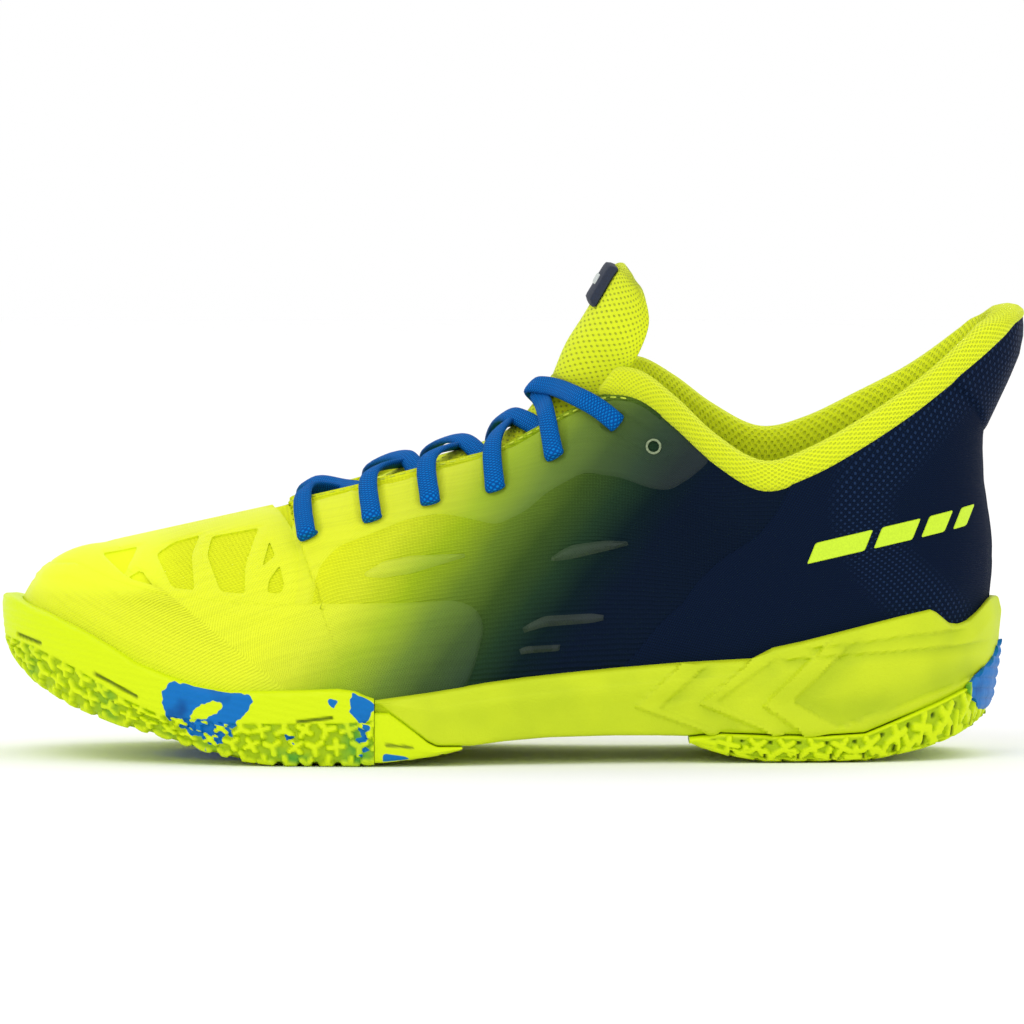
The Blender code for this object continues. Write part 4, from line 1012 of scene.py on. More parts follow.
def makeWeb(side, tag):
    line = randLine[side]
    keep = locate(side, [(-62, 46)])[0, 0]
    bottom = line[np.abs(line[:, 0]) <= abs(keep)] - (0, 1.5)
    middle = len(noseLine) // 2
    front = noseLine[:middle + 1][::-1] if side == "L" else noseLine[middle:]
    bottom = np.vstack([front - (0, 1.5), bottom])
    rear = locate(side, [(-61.5, 50), (-61, 58), (-62.5, 64)])
    crest = np.linspace(uAt(side, 1.97), front[0, 0], 60)
    crest = np.stack([crest, wallHeight(crest)], axis=1)
    loop = np.vstack([bottom, rear, crest])
    holes = [locate(side, rounded(w, 1.2)) for w in windows]

    def relief(verts, edge):
        ridge = 1 - verts[:, 1] / wallHeight(verts[:, 0])
        return 0.52 * (1 - ease(edge, 0.0, 1.1)) * (ridge < 0.03)

    obj = film("toe_web_" + tag, loop, holes, "web", relief)
    wear(obj, finishes["rand"], "vamp", ("toe_web_film",))


for side, tag in sideNames.items():
    makeWeb(side, tag)


def makeStiffener():
    ends = [locate(side, [(-105, 45)])[0, 0] for side in "LM"]
    us = np.linspace(*ends, 60)
    top = np.stack([us, wallHeight(us) * 0.72], axis=1)
    low = np.stack([us, wallHeight(us) * 0.1], axis=1)
    obj = film("toe_stiffener", np.vstack([top, low[::-1]]), (), "stiffener")
    wear(obj, finishes["board"], "forefoot", ("toe_puff",))


makeStiffener()

eyelets = [(-58.3, 64.6), (-40, 69.6), (-23.4, 74.4), (-4.6, 78.4), (12.4, 87.8), (30, 97)]
spareEyelet = (40.7, 90.3)
stayLoop = [
    (-64.5, 44), (-63.8, 55), (-64.5, 64), (-62, 70.5), (-56, 74.2), (-46, 76.8), (-33, 79.6),
    (-22, 82.8), (-8, 86.8), (0, 89.5), (10, 95.5), (20, 100.8), (27, 103.6), (33, 104),
    (38, 102.5), (46, 96.4), (53, 90.2), (57.5, 86.6), (51.6, 81.4), (45.4, 77.6), (40, 78.2),
    (31, 81.5), (20.6, 83), (10.2, 77.3), (4, 71.9), (-4.4, 67.9), (-14.5, 70.2), (-21, 71.2),
    (-30.5, 69.4), (-41.5, 65), (-50, 61.8), (-55.5, 56), (-57.5, 44)]


def makeStay(side, tag):
    loop = locate(side, rounded(stayLoop, 2.5)[::2])
    places = locate(side, eyelets)
    spare = locate(side, [spareEyelet])[0]
    turn = np.linspace(0, 2 * math.pi, 28, endpoint=False)
    hole = spare + np.stack([np.cos(turn), np.sin(turn)], axis=1) * 1.8

    def relief(verts, edge):
        d = np.zeros(len(verts))
        slot, _ = lineDistance(verts, np.array([places[5], spare]))
        d += 0.5 * np.exp(-((slot - 4.9) / 0.7) ** 2) - 0.12 * (slot < 4.2)
        for place in places[:5]:
            near, _ = lineDistance(verts, np.array([place, place + (0, 16)]))
            d += 0.38 * np.exp(-((near - 3.9) / 0.6) ** 2) - 0.1 * (near < 3.3)
        return d * ease(edge, 0.1, 1.0)

    obj = film("eyestay_" + tag, loop, [hole], "stay", relief)
    wear(obj, finishes["stay"], "vamp", ("eyestay_film_" + tag,))
    clearSelection()
    bpy.ops.mesh.primitive_torus_add(major_radius=1.95 * mm, minor_radius=0.36 * mm,
                                     major_segments=32, minor_segments=10)
    eye = bpy.context.object
    eye.name = "grommet_" + tag
    out = lookup(wallNormals, spare[None, 0], spare[None, 1] / wallHeight(spare[None, 0]))[0]
    turnTo = Vector((0, 0, 1)).rotation_difference(Vector(out)).to_matrix().to_4x4()
    turnTo.translation = Vector(onWall(spare[None], 0.35)[0] * mm)
    eye.data.transform(turnTo)
    wear(eye, finishes["grommet"], "rear", ())


for side, tag in sideNames.items():
    makeStay(side, tag)

bladeLoops = {
    "a": [(0.5, 37.2), (5, 40.4), (9.3, 42.4), (23.1, 43), (31.5, 41.7), (23.1, 39.8),
          (9.3, 38.8), (1.6, 36.6)],
    "b": [(-1, 31.2), (3.7, 33.8), (14.3, 34.2), (19, 33), (13, 31.8), (4.2, 31.2), (0.2, 30.6)],
    "c": [(-43, 54.4), (-37, 58.0), (-29, 59.6), (-13, 60.2), (-12, 59.2), (-21, 56.6),
          (-29, 54.2), (-37, 53.0), (-42.4, 53.2)],
    "d": [(10.4, 58.4), (14, 61), (17.4, 62.6), (27, 63.8), (38, 63.2), (28, 60.6),
          (17.4, 58.2), (11, 57.4)]}


def bladeRelief(verts, edge):
    return 0.9 * ease(edge, 0.3, 2.2)


for side, tag in sideNames.items():
    for key, loop in bladeLoops.items():
        spots = locate(side, rounded(loop, 1.0)[::2])
        obj = film(f"gill_{key}_{tag}", spots, (), "blade", bladeRelief)
        wear(obj, finishes["blade"], "vamp", (f"blade_{key}_{tag}",))

markRow = {"begin": (84.5, 59.6), "lengths": (17, 11.5, 7, 4), "gap": 2.2, "height": 6.4,
           "rise": 0.225, "slant": 2.6}
x, firstZ = markRow["begin"]
for k, length in enumerate(markRow["lengths"]):
    z = firstZ + (x - markRow["begin"][0]) * markRow["rise"]
    rise, slant, tall = markRow["rise"] * length, markRow["slant"], markRow["height"]
    block = [(x, z - tall / 2), (x + length, z - tall / 2 + rise),
             (x + length + slant, z + tall / 2 + rise), (x + slant, z + tall / 2)]
    obj = film(f"heel_block_{k + 1}", locate("L", rounded(block, 0.4)), (), "mark")
    wear(obj, finishes["mark"], "rear", ("heel_mark",))
    x += length + markRow["gap"]
print("films ready")


# Padded collar with its lining, and the tongue

def makeCollar():
    ts = np.linspace(10.6, 22, 170)
    line = np.array([uAt("L", t) for t in ts] + [uAt("M", t) for t in ts[-2::-1]])
    count = len(line)
    spots = np.array([0, .05, .12, .2, .28, .36, .44, .5, .56, .64])
    away = np.array([0.6, -1.0, -1.5, -1.2, 0.4, 3.4, 6.4, 7.7, 7.9, 6.9])
    rise = np.array([-2.2, -0.6, 1.5, 3.9, 6.2, 7.2, 6.1, 3.2, -0.5, -6.0])
    tops = surf(line, 1.0)
    along = np.gradient(tops, axis=0) * (1, 1, 0)
    along /= np.maximum(np.linalg.norm(along, axis=1, keepdims=True), 1e-9)
    inward = np.stack([along[:, 1], -along[:, 0], along[:, 0] * 0], axis=1)
    if inward[40, 1] < 0:
        inward = -inward
    end = np.minimum(np.arange(count), np.arange(count)[::-1])
    sizes = 0.35 + 0.65 * ease(end, 0, 9)

    def shape(a, b):
        k = np.round(a * (count - 1)).astype(int)
        w = np.interp(b, spots, away) * sizes[k]
        h = np.interp(b, spots, rise) * np.where(b < 0.5, sizes[k], 1.0)
        roll = tops[k] + inward[k] * w[:, None]
        roll[:, 2] += h
        high = roll[:, 2] > 125
        roll[high, 2] = 125 + (roll[high, 2] - 125) * 0.55
        low = surf(line[k], np.clip(0.93 - 0.9 * (b - 0.64) / 0.36, 0, 1), -6.1)
        low[:, 2] = np.maximum(low[:, 2], table(footbed, low[:, 0]) - 1.0)
        share = ease(b, 0.6, 0.72)[:, None]
        return roll * (1 - share) + low * share

    obj = sheetPiece("collar_pad", count - 1, 110, shape, evenUV(runOf(tops)[-1], 70))
    weld(obj, 0.01)
    pick(obj)
    bpy.ops.object.mode_set(mode="EDIT")
    bpy.ops.mesh.select_all(action="SELECT")
    bpy.ops.mesh.vertices_smooth(factor=0.5, repeat=4)
    bpy.ops.object.mode_set(mode="OBJECT")
    faceLateral(obj, (0.075, -0.034, 0.084))
    wear(obj, finishes["collar"], "rear", ("collar_roll", "collar_lining"), 80)


makeCollar()

tongueRows = np.array([
    (-60, 65.5, 13, 3.0, 5), (-45, 75, 18, 5, 8), (-30, 81.5, 20, 6, 9.5),
    (-14, 86.5, 20.5, 6, 10.5), (-3, 90.5, 20.5, 6, 11), (4, 96, 20, 6.5, 12),
    (9, 102.5, 19.2, 7, 12.5), (12.0, 108.8, 18, 8, 13), (12.6, 110.4, 18, 8, 13),
    (16, 118.5, 21.5, 8, 15.5), (21, 126.5, 26, 8, 15.5), (25.5, 134, 26, 8, 13.5),
    (29.3, 140.3, 21, 6.5, 9), (32.2, 142.3, 15, 4, 4.5)])


def tongueNormal(k):
    first, last = k - 1, k + 1
    if k in (7, 8):
        first, last = 6, 9
    a, b = tongueRows[max(0, first)], tongueRows[min(len(tongueRows) - 1, last)]
    along = np.array((b[0] - a[0], 0, b[1] - a[1]))
    along = along / np.linalg.norm(along)
    return np.array((-along[2], 0, along[0]))


def tongueFront(v, y, lift):
    k = min(int(v), len(tongueRows) - 2)
    spots = []
    for n in (k, k + 1):
        x, z, wide, _, wing = tongueRows[n]
        out = tongueNormal(n)
        spots.append(np.array((x, y + centreY(x), z)) - out * (wing * (y / wide) ** 2 - lift))
    return spots[0] + (spots[1] - spots[0]) * (v - k)


tongueOut = np.array([tongueNormal(k) for k in range(len(tongueRows))])
tongueDense = spline(tongueRows, 10)
tongueOutDense = spline(tongueOut, 10)


def tongueAt(k):  # the tongue's measures and its front direction at row k
    at = np.arange(len(tongueDense))
    return readRows(k, at, tongueDense), readRows(k, at, tongueOutDense)


def tonguePlace(row, out, y, sunk):  # y from the middle, sunk below the front face
    base = np.stack([row[:, 0], y + centreY(row[:, 0]), row[:, 1]], axis=1)
    return base - out * (row[:, 4] * (y / row[:, 2]) ** 2 + sunk)[:, None]


def makeTongue():
    def shape(a, b):
        row, out = tongueAt(a * (len(tongueDense) - 1))
        out /= np.linalg.norm(out, axis=1, keepdims=True)
        turn = b * 2 * math.pi
        tip = np.sqrt(np.clip(1 - ((a - 0.955) / 0.045).clip(0, 1) ** 2, 0.02, 1))
        f = np.sign(np.cos(turn)) * np.abs(np.cos(turn)) ** 0.85
        y = f * row[:, 2] * (0.8 + 0.2 * tip)
        thick = row[:, 3] * (1 - 0.45 * np.abs(f) ** 3) * (0.35 + 0.65 * tip)
        rim = np.abs(np.sin(turn)) ** 0.55 * np.sign(np.sin(turn))
        depth = thick * (0.5 - 0.5 * rim) + row[:, 3] * 0.325 * (1 - tip)
        puff = (0.5 + 1.3 * (1 - ease(a, 0.42, 0.6))) * (1 - f * f) * (rim > 0)
        return tonguePlace(row, out, y, depth - puff)

    obj = sheetPiece("tongue_pad", 200, 96, shape, evenUV(130, 86))
    weld(obj, 0.01, True)
    turnOut(obj)
    wear(obj, finishes["tongue"], "fold", ("tongue_lower", "tongue_upper"), 80)


makeTongue()


def makeLabel(name, v0, v1, wide, lift, finish, replaced=()):
    def shape(a, b):
        row, out = tongueAt((v0 + (v1 - v0) * b) * 10)
        y = (a * 2 - 1) * wide
        edge = np.minimum(np.minimum(a, 1 - a) * 2 * wide, np.minimum(b, 1 - b) * 12)
        d = lift * ease(edge, 0, 0.9) + 0.5 * (1 - (y / row[:, 2]) ** 2)
        return tonguePlace(row, out, y, -d)

    obj = sheetPiece(name, 40, 24, shape)
    thicken(obj, 0.8)
    wear(obj, finish, "tongue_top", replaced)


makeLabel("tongue_tag", 10.5, 12.1, 9, 1.6, finishes["label"], ("tongue_label",))
makeLabel("tag_bar", 11.15, 11.45, 5.5, 2.0, finishes["pale"])
print("padding ready")


# Lace: one flat cord through all the eyelets

crossings = [0.8, 2.0, 3.0, 4.7, 6.25]  # rows of the tongue where the strands meet
laceLook = {"width": 5.8, "thickness": 2.0, "step": 1.1, "sides": 16}


def throatEdge(side, x):
    ts = np.linspace(3, 14, 120)
    us = np.array([uAt(side, t) for t in ts])
    tops = surf(us, 1.0)
    return np.array([x, np.interp(x, tops[:, 0], tops[:, 1]), np.interp(x, tops[:, 0], tops[:, 2])])


def laceHalf(first):
    holes = {s: [(u, v / wallHeight(u)) for u, v in locate(s, eyelets)] for s in "LM"}
    stops, side, last = [], first, len(eyelets) - 1
    for k in range(len(eyelets)):
        u, s = holes[side][k]
        sign = -1 if side == "L" else 1
        up = surf(u, s, 2.7)
        if k == last:  # the last strand comes over the edge and goes in
            over = throatEdge(side, 19.3)
            stops += [np.array((over[0], over[1] + sign * 1.8, 104.2)),
                      onWall(locate(side, [(25.8, 100.4)]), 3.0)[0], up, surf(u, s, -0.6),
                      surf(u, s, -4.0)]
            break
        if k:
            edge = throatEdge(side, up[0] - 3.4)
            stops += [edge + (0, -sign * 5.5, -2.0), edge + (0, -sign * 0.8, -6.4)]
        over = throatEdge(side, up[0] - (2.0 if k == last - 1 else 0.4))
        stops += [surf(u, s, -4.0), surf(u, s, -0.6), up, over + (0, -sign * 0.6, 2.2)]
        row, layer = crossings[k], 3.7 + (-1.1 if side == "L" else 1.1)
        if k == last - 1:
            stops.append(tongueFront(row - 0.3, sign * 9, 2.6))
        stops.append(tongueFront(row, 0.0, layer))
        if k == last - 1:
            stops.append(tongueFront(row + 0.45, -sign * 10, 2.8))
        side = "M" if side == "L" else "L"
    sign = -1 if side == "L" else 1
    down = [(34, 19, 92), (40, 17.5, 78), (46, 17, 60), (54, 17.5, 42), (64, 19, 31),
            (76, 20, 27.2), (90, 19.5, 27), (104, 16, 27.2), (114, 9, 27.5)]
    return stops, [np.array((x, sign * y, z)) for x, y, z in down], sign


def makeLace():
    leftStops, leftDown, leftSign = laceHalf("L")
    rightStops, rightDown, rightSign = laceHalf("M")
    start = np.array((eyelets[0][0] + 1.0, centreY(-60), 72.5))
    stops = (leftStops + leftDown)[::-1] + [start] + rightStops + rightDown
    wallWay = ([leftSign] * len(leftDown) + [0] * (len(leftStops) + 1 + len(rightStops))
               + [rightSign] * len(rightDown))
    path = spline(stops, 10)
    way = np.interp(np.arange(len(path)) / 10, np.arange(len(stops)), wallWay)
    path, way = path[12:-12], way[12:-12]
    run = runOf(path)
    count = int(run[-1] / laceLook["step"])
    goal = np.linspace(0, run[-1], count)
    path = readRows(goal, run, path)
    way = np.interp(goal, run, way)
    along = np.gradient(path, axis=0)
    along /= np.linalg.norm(along, axis=1, keepdims=True)
    tongueWay = np.array([(0.85, 0, 0.53), (0.95, 0, 0.3), (0.72, 0, 0.7), (0.6, 0, 0.8)])
    axis = readRows(path[:, 0], [-60, -14, 4, 30], tongueWay)
    press = np.stack([way * 0, -way, way * 0], axis=1)
    downSide = np.cross(along, press)
    share = np.abs(way)[:, None]
    wide = axis * (1 - share) + downSide * share
    for _ in range(3):
        wide -= along * (wide * along).sum(axis=1, keepdims=True)
        wide /= np.maximum(np.linalg.norm(wide, axis=1, keepdims=True), 1e-9)
        for k in range(1, count):
            if wide[k] @ wide[k - 1] < 0:
                wide[k] = -wide[k]
        wide[2:-2] = (wide[:-4] + wide[1:-3] + wide[2:-2] + wide[3:-1] + wide[4:]) / 5
    wide -= along * (wide * along).sum(axis=1, keepdims=True)
    wide /= np.linalg.norm(wide, axis=1, keepdims=True)
    other = np.cross(along, wide)

    def shape(a, b):
        k = np.clip(np.round(a * (count - 1)).astype(int), 0, count - 1)
        turn = b * 2 * math.pi
        c, s = np.cos(turn), np.sin(turn)
        w = np.sign(c) * np.abs(c) ** 0.8 * laceLook["width"] / 2
        t = np.sign(s) * np.abs(s) ** 0.8 * laceLook["thickness"] / 2
        return path[k] + wide[k] * w[:, None] + other[k] * t[:, None]

    obj = sheetPiece("lace_ribbon", count - 1, laceLook["sides"], shape, evenUV(run[-1], 12))
    weld(obj, 0.005, True)
    turnOut(obj)
    wear(obj, finishes["lace"], "rear", ("lace",), 60)
    print("lace length mm", round(run[-1]))


makeLace()
print("lace ready")


# Sole unit

def stationRun(x0, x1, step):
    near = np.geomspace(0.001, 3, 60)
    xs = [np.linspace(x0, x1, 900), outlines["L"][:, 0], outlines["M"][:, 0], x0 + near, x1 - near]
    xs = np.unique(np.concatenate(xs))
    xs = xs[(xs >= x0) & (xs <= x1)]
    lines = [np.array([outlinePoint(side, x) for x in xs]) for side in "LM"]
    run = np.max([np.linalg.norm(np.diff(p, axis=0), axis=1) for p in lines], axis=0)
    run = np.concatenate([[0], np.cumsum(run)])
    return np.interp(np.linspace(0, run[-1], int(run[-1] / step) + 1), run, xs)


def soleSide(side, xs, keys, counts):
    rows = []
    for x in xs:
        middle = spinePoint(x)
        row = []
        for inset, share, height in keys:
            inset = inset(x) if callable(inset) else inset
            p = outlinePoint(side, x, min(inset, 5.6))
            p = p + (middle - p) * share
            row.append((p[0], p[1], float(height(p[0]))))
        rows.append(row)
    rows = np.array(rows)
    q = np.concatenate([np.linspace(i, i + 1, n, endpoint=False) for i, n in enumerate(counts)]
                       + [[len(counts)]])
    k = np.minimum(q.astype(int), len(keys) - 2)
    f = (q - k)[None, :, None]
    dense = rows[:, k] * (1 - f) + rows[:, k + 1] * f
    for _ in range(3):
        soft = dense.copy()
        soft[:, 1:-1] = (dense[:, :-2] + dense[:, 1:-1] * 2 + dense[:, 2:]) / 4
        dense = soft
    return dense, q


def soleShell(name, x0, x1, step, outer, counts, inner, relief, finish, body, replaced):
    xs = stationRun(x0, x1, step)
    left, q = soleSide("L", xs, outer, counts)
    right, _ = soleSide("M", xs, outer, counts)
    grid = np.concatenate([left, right[:, -2::-1]], axis=1)
    qAll = np.concatenate([q, q[-2::-1]])
    side = np.concatenate([-np.ones(len(q)), np.ones(len(q) - 1)])
    runs = []
    for key in "LM":
        runs.append(runOf(np.array([outlinePoint(key, x) for x in xs])))
    arc = np.where(side[None] < 0, runs[0][:, None], runs[1][:, None])
    n = gridNormals(grid)
    if n[len(xs) // 2, len(q) - 1, 2] > 0:
        n = -n
    d, marks = relief(grid, np.broadcast_to(qAll, arc.shape), np.broadcast_to(side, arc.shape), arc)
    hold = np.ones(len(xs))
    hold[:2] = 0.3
    grid = grid + n * (d * hold[:, None])[..., None]
    floorCounts = [1] * (len(inner) - 1)
    inL, _ = soleSide("L", xs, inner, floorCounts)
    inR, _ = soleSide("M", xs, inner, floorCounts)
    core = np.concatenate([inL, inR[:, -2::-1]], axis=1)[:, ::-1]
    whole = np.concatenate([grid, core, grid[:, :1]], axis=1)
    rows, cols = whole.shape[:2]

    def cell(a, b):
        return np.round(a * (rows - 1)).astype(int), np.round(b * (cols - 1)).astype(int)

    def shape(a, b):
        return whole[cell(a, b)]

    def attributes(a, b, points):
        out = {}
        for key, values in marks.items():
            full = np.zeros((rows, cols))
            full[:, :grid.shape[1]] = values
            full[:, -1] = values[:, 0]
            out[key] = full[cell(a, b)]
        return out

    obj = sheetPiece(name, rows - 1, cols - 1, shape, None, attributes)
    weld(obj, 0.005, True)
    turnOut(obj)
    wear(obj, finish, body, replaced, 42)


def starField(a, z, spots, arms, reach, width):
    height = np.zeros(a.shape)
    for ca, cz, turn in spots:
        near = (np.abs(a - ca) < reach + 2) & (np.abs(z - cz) < reach + 2)
        if not near.any():
            continue
        x, y = a[near] - ca, z[near] - cz
        best = np.full(x.shape, 99.0)
        for k in range(arms):
            ang = turn + 2 * math.pi * k / arms
            along = np.clip(x * math.cos(ang) + y * math.sin(ang), 0, reach)
            best = np.minimum(best, np.hypot(x - along * math.cos(ang), y - along * math.sin(ang)))
        height[near] = np.maximum(height[near], 1 - ease(best, width - 0.25, width + 0.35))
    return height


def herringbone(x, y, pitch, depth):
    zig = np.abs(((y / 11.0) % 1.0) - 0.5) * 2
    lane = ((x + zig * 7.0) / pitch) % 1.0
    cut = 1 - ease(np.abs(lane - 0.5), 0.08, 0.2)
    keel = 1 - ease(np.abs(((y / 11.0) % 0.5) - 0.25) * 11, 0.3, 0.8)
    return -depth * np.maximum(cut, keel * 0.7)


parting = [(-148, 34.8), (-137.5, 32), (-126, 26.9), (-111.5, 18.4), (-101, 14), (-80, 12),
           (-45, 12.5), (-38, 13.5)]
bluePatches = [
    [(-100.6, 19.9), (-98.3, 23.6), (-90.5, 22.5), (-82.4, 21), (-75.1, 20.4), (-74.2, 17.8),
     (-76, 15.2), (-78.9, 12.3), (-81.2, 8.8), (-84.1, 5.9), (-87, 4.8), (-89, 7.4), (-93.4, 9.4),
     (-96.9, 12.3), (-99.8, 14.6)],
    [(-53, 18.1), (-51.5, 19.8), (-49.6, 18.4), (-51.2, 16.3)],
    [(-46, 21), (-43.2, 20.2), (-38.6, 17.5), (-41, 14), (-41.6, 3), (-44.4, 3), (-43.6, 12),
     (-46.5, 15.5)],
    [(-65.5, 8.6), (-63.4, 9.8), (-62, 7.4), (-64, 5.8)]]
greenSpots = [(-140, 2.5, 0.6), (-116, 4, 0.5), (-93, 7, 0.9), (-63, 5, 1.0), (-44, 4.5, 1.0)]
slits = [[(-142.7, 35.2), (-136.3, 33.2)], [(-119.8, 25.1), (-107.9, 19)],
         [(-61.2, 12.6), (-51.6, 13.8)]]


def polygonMask(points, loop, soft=1.4):  # a half on the line itself, one well inside
    loop = rounded(loop, 1.0)
    edge, _ = lineDistance(points, loop, True)
    return np.clip(0.5 + np.where(inside(points, loop), edge, -edge) / soft, 0, 1)


def frontRelief(grid, q, side, arc):
    x, y, z = grid[..., 0], grid[..., 1], grid[..., 2]
    line, low = table(parting, x), table(tread, x)
    onSide = (q > 1.2) & (q < 6.4)
    below = ease(line - z, -0.1, 0.7) * onSide
    spots = []
    for row, start in ((0.17, 0.0), (0.57, 3.1), (0.98, 0.6)):
        for k in range(31):
            along = start + 6.2 * k + random.uniform(-0.4, 0.4)
            spots.append((row, along, random.uniform(0, 2 * math.pi)))
    star = np.zeros(x.shape)
    band = np.maximum(line - low, 3.0)
    for way in (-1, 1):
        sel = side == way
        down = (line - z)[sel] / band[sel] * 13.0
        lugs = [(a, row * 13.0, turn) for row, a, turn in spots]
        star[sel] = np.maximum(starField(arc[sel], down, lugs[::2], 3, 2.3, 0.85),
                               starField(arc[sel], down, lugs[1::2], 4, 2.1, 0.75))
    star = star * below
    d = -0.8 * below + 1.2 * star
    flat = np.stack([x.ravel(), z.ravel()], axis=1)
    wallSet = ((q > 1.0) & (q < 6.6)).ravel()
    blue, slit = np.zeros(flat.shape[0]), np.zeros(flat.shape[0])
    shifted = flat.copy()
    shifted[:, 0] += np.where(side.ravel() > 0, -17.0, 0.0)
    rough = 0.22 + 0.6 * below.ravel()
    shifted[:, 0] += rough * (np.sin(flat[:, 1] * 1.9 + flat[:, 0]) + 0.4 * np.sin(flat[:, 1] * 3.7))
    shifted[:, 1] += rough * (np.sin(flat[:, 0] * 1.7) + 0.5 * np.sin(flat[:, 0] * 3.3 + flat[:, 1] * 2))
    some = np.where(wallSet)[0]
    for loop in bluePatches:
        blue[some] = np.maximum(blue[some], polygonMask(shifted[some], loop))
    tilt = math.radians(24)
    ex, ez = shifted[some, 0] + 87.6, shifted[some, 1] - 15.5
    oval = np.hypot((ex * math.cos(tilt) + ez * math.sin(tilt)) / 5.0,
                    (-ex * math.sin(tilt) + ez * math.cos(tilt)) / 2.0)
    blue[some] = np.minimum(blue[some], np.clip(0.5 + (oval - 1) * 2, 0, 1))
    # painted shade: the slits are cut 0.8 mm in and also marked for a dark painted tone
    for cut in slits:
        near, _ = lineDistance(flat[some], np.array(cut, float))
        slit[some] = np.maximum(slit[some], 1 - ease(near, 0.25, 0.7))
    blue, slit = blue.reshape(x.shape), slit.reshape(x.shape)
    d -= slit * 0.8
    bottom = q > 6.2
    d = np.where(bottom, herringbone(x, y, 7.5, 1.3) * ease(q, 6.2, 6.5), d)
    under = ((x + 70) / 34) ** 2 + (y / 30) ** 2
    blue = np.where(bottom, np.maximum(1 - ease(under, 0.85, 1.0), 0), blue)
    paint = np.sin(arc * 0.9 + z * 1.3) + np.sin(arc * 0.37 - z * 0.8) > -0.35
    blue = np.where((below > 0.5) & paint, blue * (1 - 0.9 * star), blue)
    green = np.zeros(x.shape)
    for spot, reach, much in greenSpots:
        green = green + much * np.exp(-((x - spot) / reach) ** 2)
    green = np.minimum(green, 1) * below * (1 - star * 0.7)
    # painted shade: darker in the recessed band between the lugs and in the tread grooves
    deep = np.maximum(below * (1 - star), bottom * (d < -0.5))
    d += 0.08 * np.sin(z * 3.1 + x * 0.6) * (1 - below) * onSide
    return d, {"blue": blue, "green": green, "deep": deep * 0.85, "slit": slit * 0.75}


def mixOf(a, b, share):
    return lambda x: table(a, x) * (1 - share) + table(b, x) * share


def lift(points, dz):
    return lambda x: table(points, x) + dz


soleShell(
    "forefoot_rubber", -148, -39.5, 0.62,
    [(5.6, 0, lift(foxing, 0.3)), (1.6, 0, lift(foxing, 0.2)), (0.3, 0, lift(foxing, -0.8)),
     (0.0, 0, mixOf(foxing, tread, 0.45)), (0.2, 0, mixOf(foxing, tread, 0.85)),
     (1.0, 0, lift(tread, 0.9)), (2.6, 0, lift(tread, 0)), (2.6, 0.5, lift(tread, 0)),
     (2.6, 1, lift(tread, 0))],
    [4, 3, 20, 18, 6, 4, 42, 42],
    [(5.6, 0, lift(foxing, -1.6)), (5.6, 0, lift(tread, 4)), (5.6, 0.4, lift(tread, 4)),
     (5.6, 1, lift(tread, 4))],
    frontRelief, finishes["rubber"], "forefoot", ("outsole_forefoot",))


def padRelief(grid, q, side, arc):
    x, y, z = grid[..., 0], grid[..., 1], grid[..., 2]
    flat = np.stack([x.ravel(), z.ravel()], axis=1)
    patch = polygonMask(flat, [(-37, 3.6), (-30, 2.6), (-28.6, 1.0), (-37, -1)]).reshape(x.shape)
    near, _ = lineDistance(flat, np.array([(-36, 5.9), (-28.7, 5.2)]))
    slit = (1 - ease(near, 0.2, 0.6)).reshape(x.shape) * (q < 3)
    bottom = q > 3.5
    d = np.where(bottom, herringbone(x, y, 7.5, 0.9) * ease(q, 3.5, 3.8), -0.5 * slit)
    # painted shade: the slit and the tread grooves are marked for darker painted colour
    return d, {"blue": patch * (q < 3.4), "slit": slit * 0.7, "deep": bottom * (d < -0.4) * 0.8,
               "green": patch * 0}


soleShell(
    "midfoot_rubber", -39.35, -14, 0.7,
    [(2.4, 0, lambda x: min(table(waist, x) - 0.1, 15.2)),
     (0.9, 0, lambda x: min(table(waist, x) - 0.3, 15.0)),
     (0.6, 0, mixOf(waist, tread, 0.6)), (1.3, 0, lift(tread, 0.7)), (2.6, 0, lift(tread, 0)),
     (2.6, 0.5, lift(tread, 0)), (2.6, 1, lift(tread, 0))],
    [3, 8, 10, 4, 40, 40],
    [(3.4, 0, lambda x: min(table(waist, x) - 1.0, 14)), (5, 0.3, lift(tread, 0.4)),
     (5, 1, lift(tread, 0.4))],
    padRelief, finishes["rubber"], "rear", ("outsole_midfoot",))

creases = [
    ([(47, 26.8), (35.1, 16.1), (57.1, 8)], 0.75, 8),
    ([(53.4, 25.6), (42.1, 15.5), (60.5, 8.4)], -0.6, 7),
    ([(67.3, 28), (53.9, 16.7), (73.1, 8.8)], 0.85, 9),
    ([(72.5, 27.4), (58.6, 17.3), (77, 8.8)], -0.5, 7),
    ([(88, 31.5), (71.9, 16.4), (84.1, 7.7)], 0.9, 9),
    ([(93.4, 29.7), (80.6, 17.3), (94, 9.7), (118.3, 17.8), (131, 22)], -0.75, 10),
    ([(127.3, 37), (113.7, 36.1), (102, 34.4), (88, 33)], -0.5, 5),
    ([(138, 33.5), (127, 32.6), (92.8, 30.6), (80, 29.6)], -0.6, 4),
    ([(60, 24.8), (30, 22.3), (0, 19.5), (-30, 15.5)], 0.25, 6)]


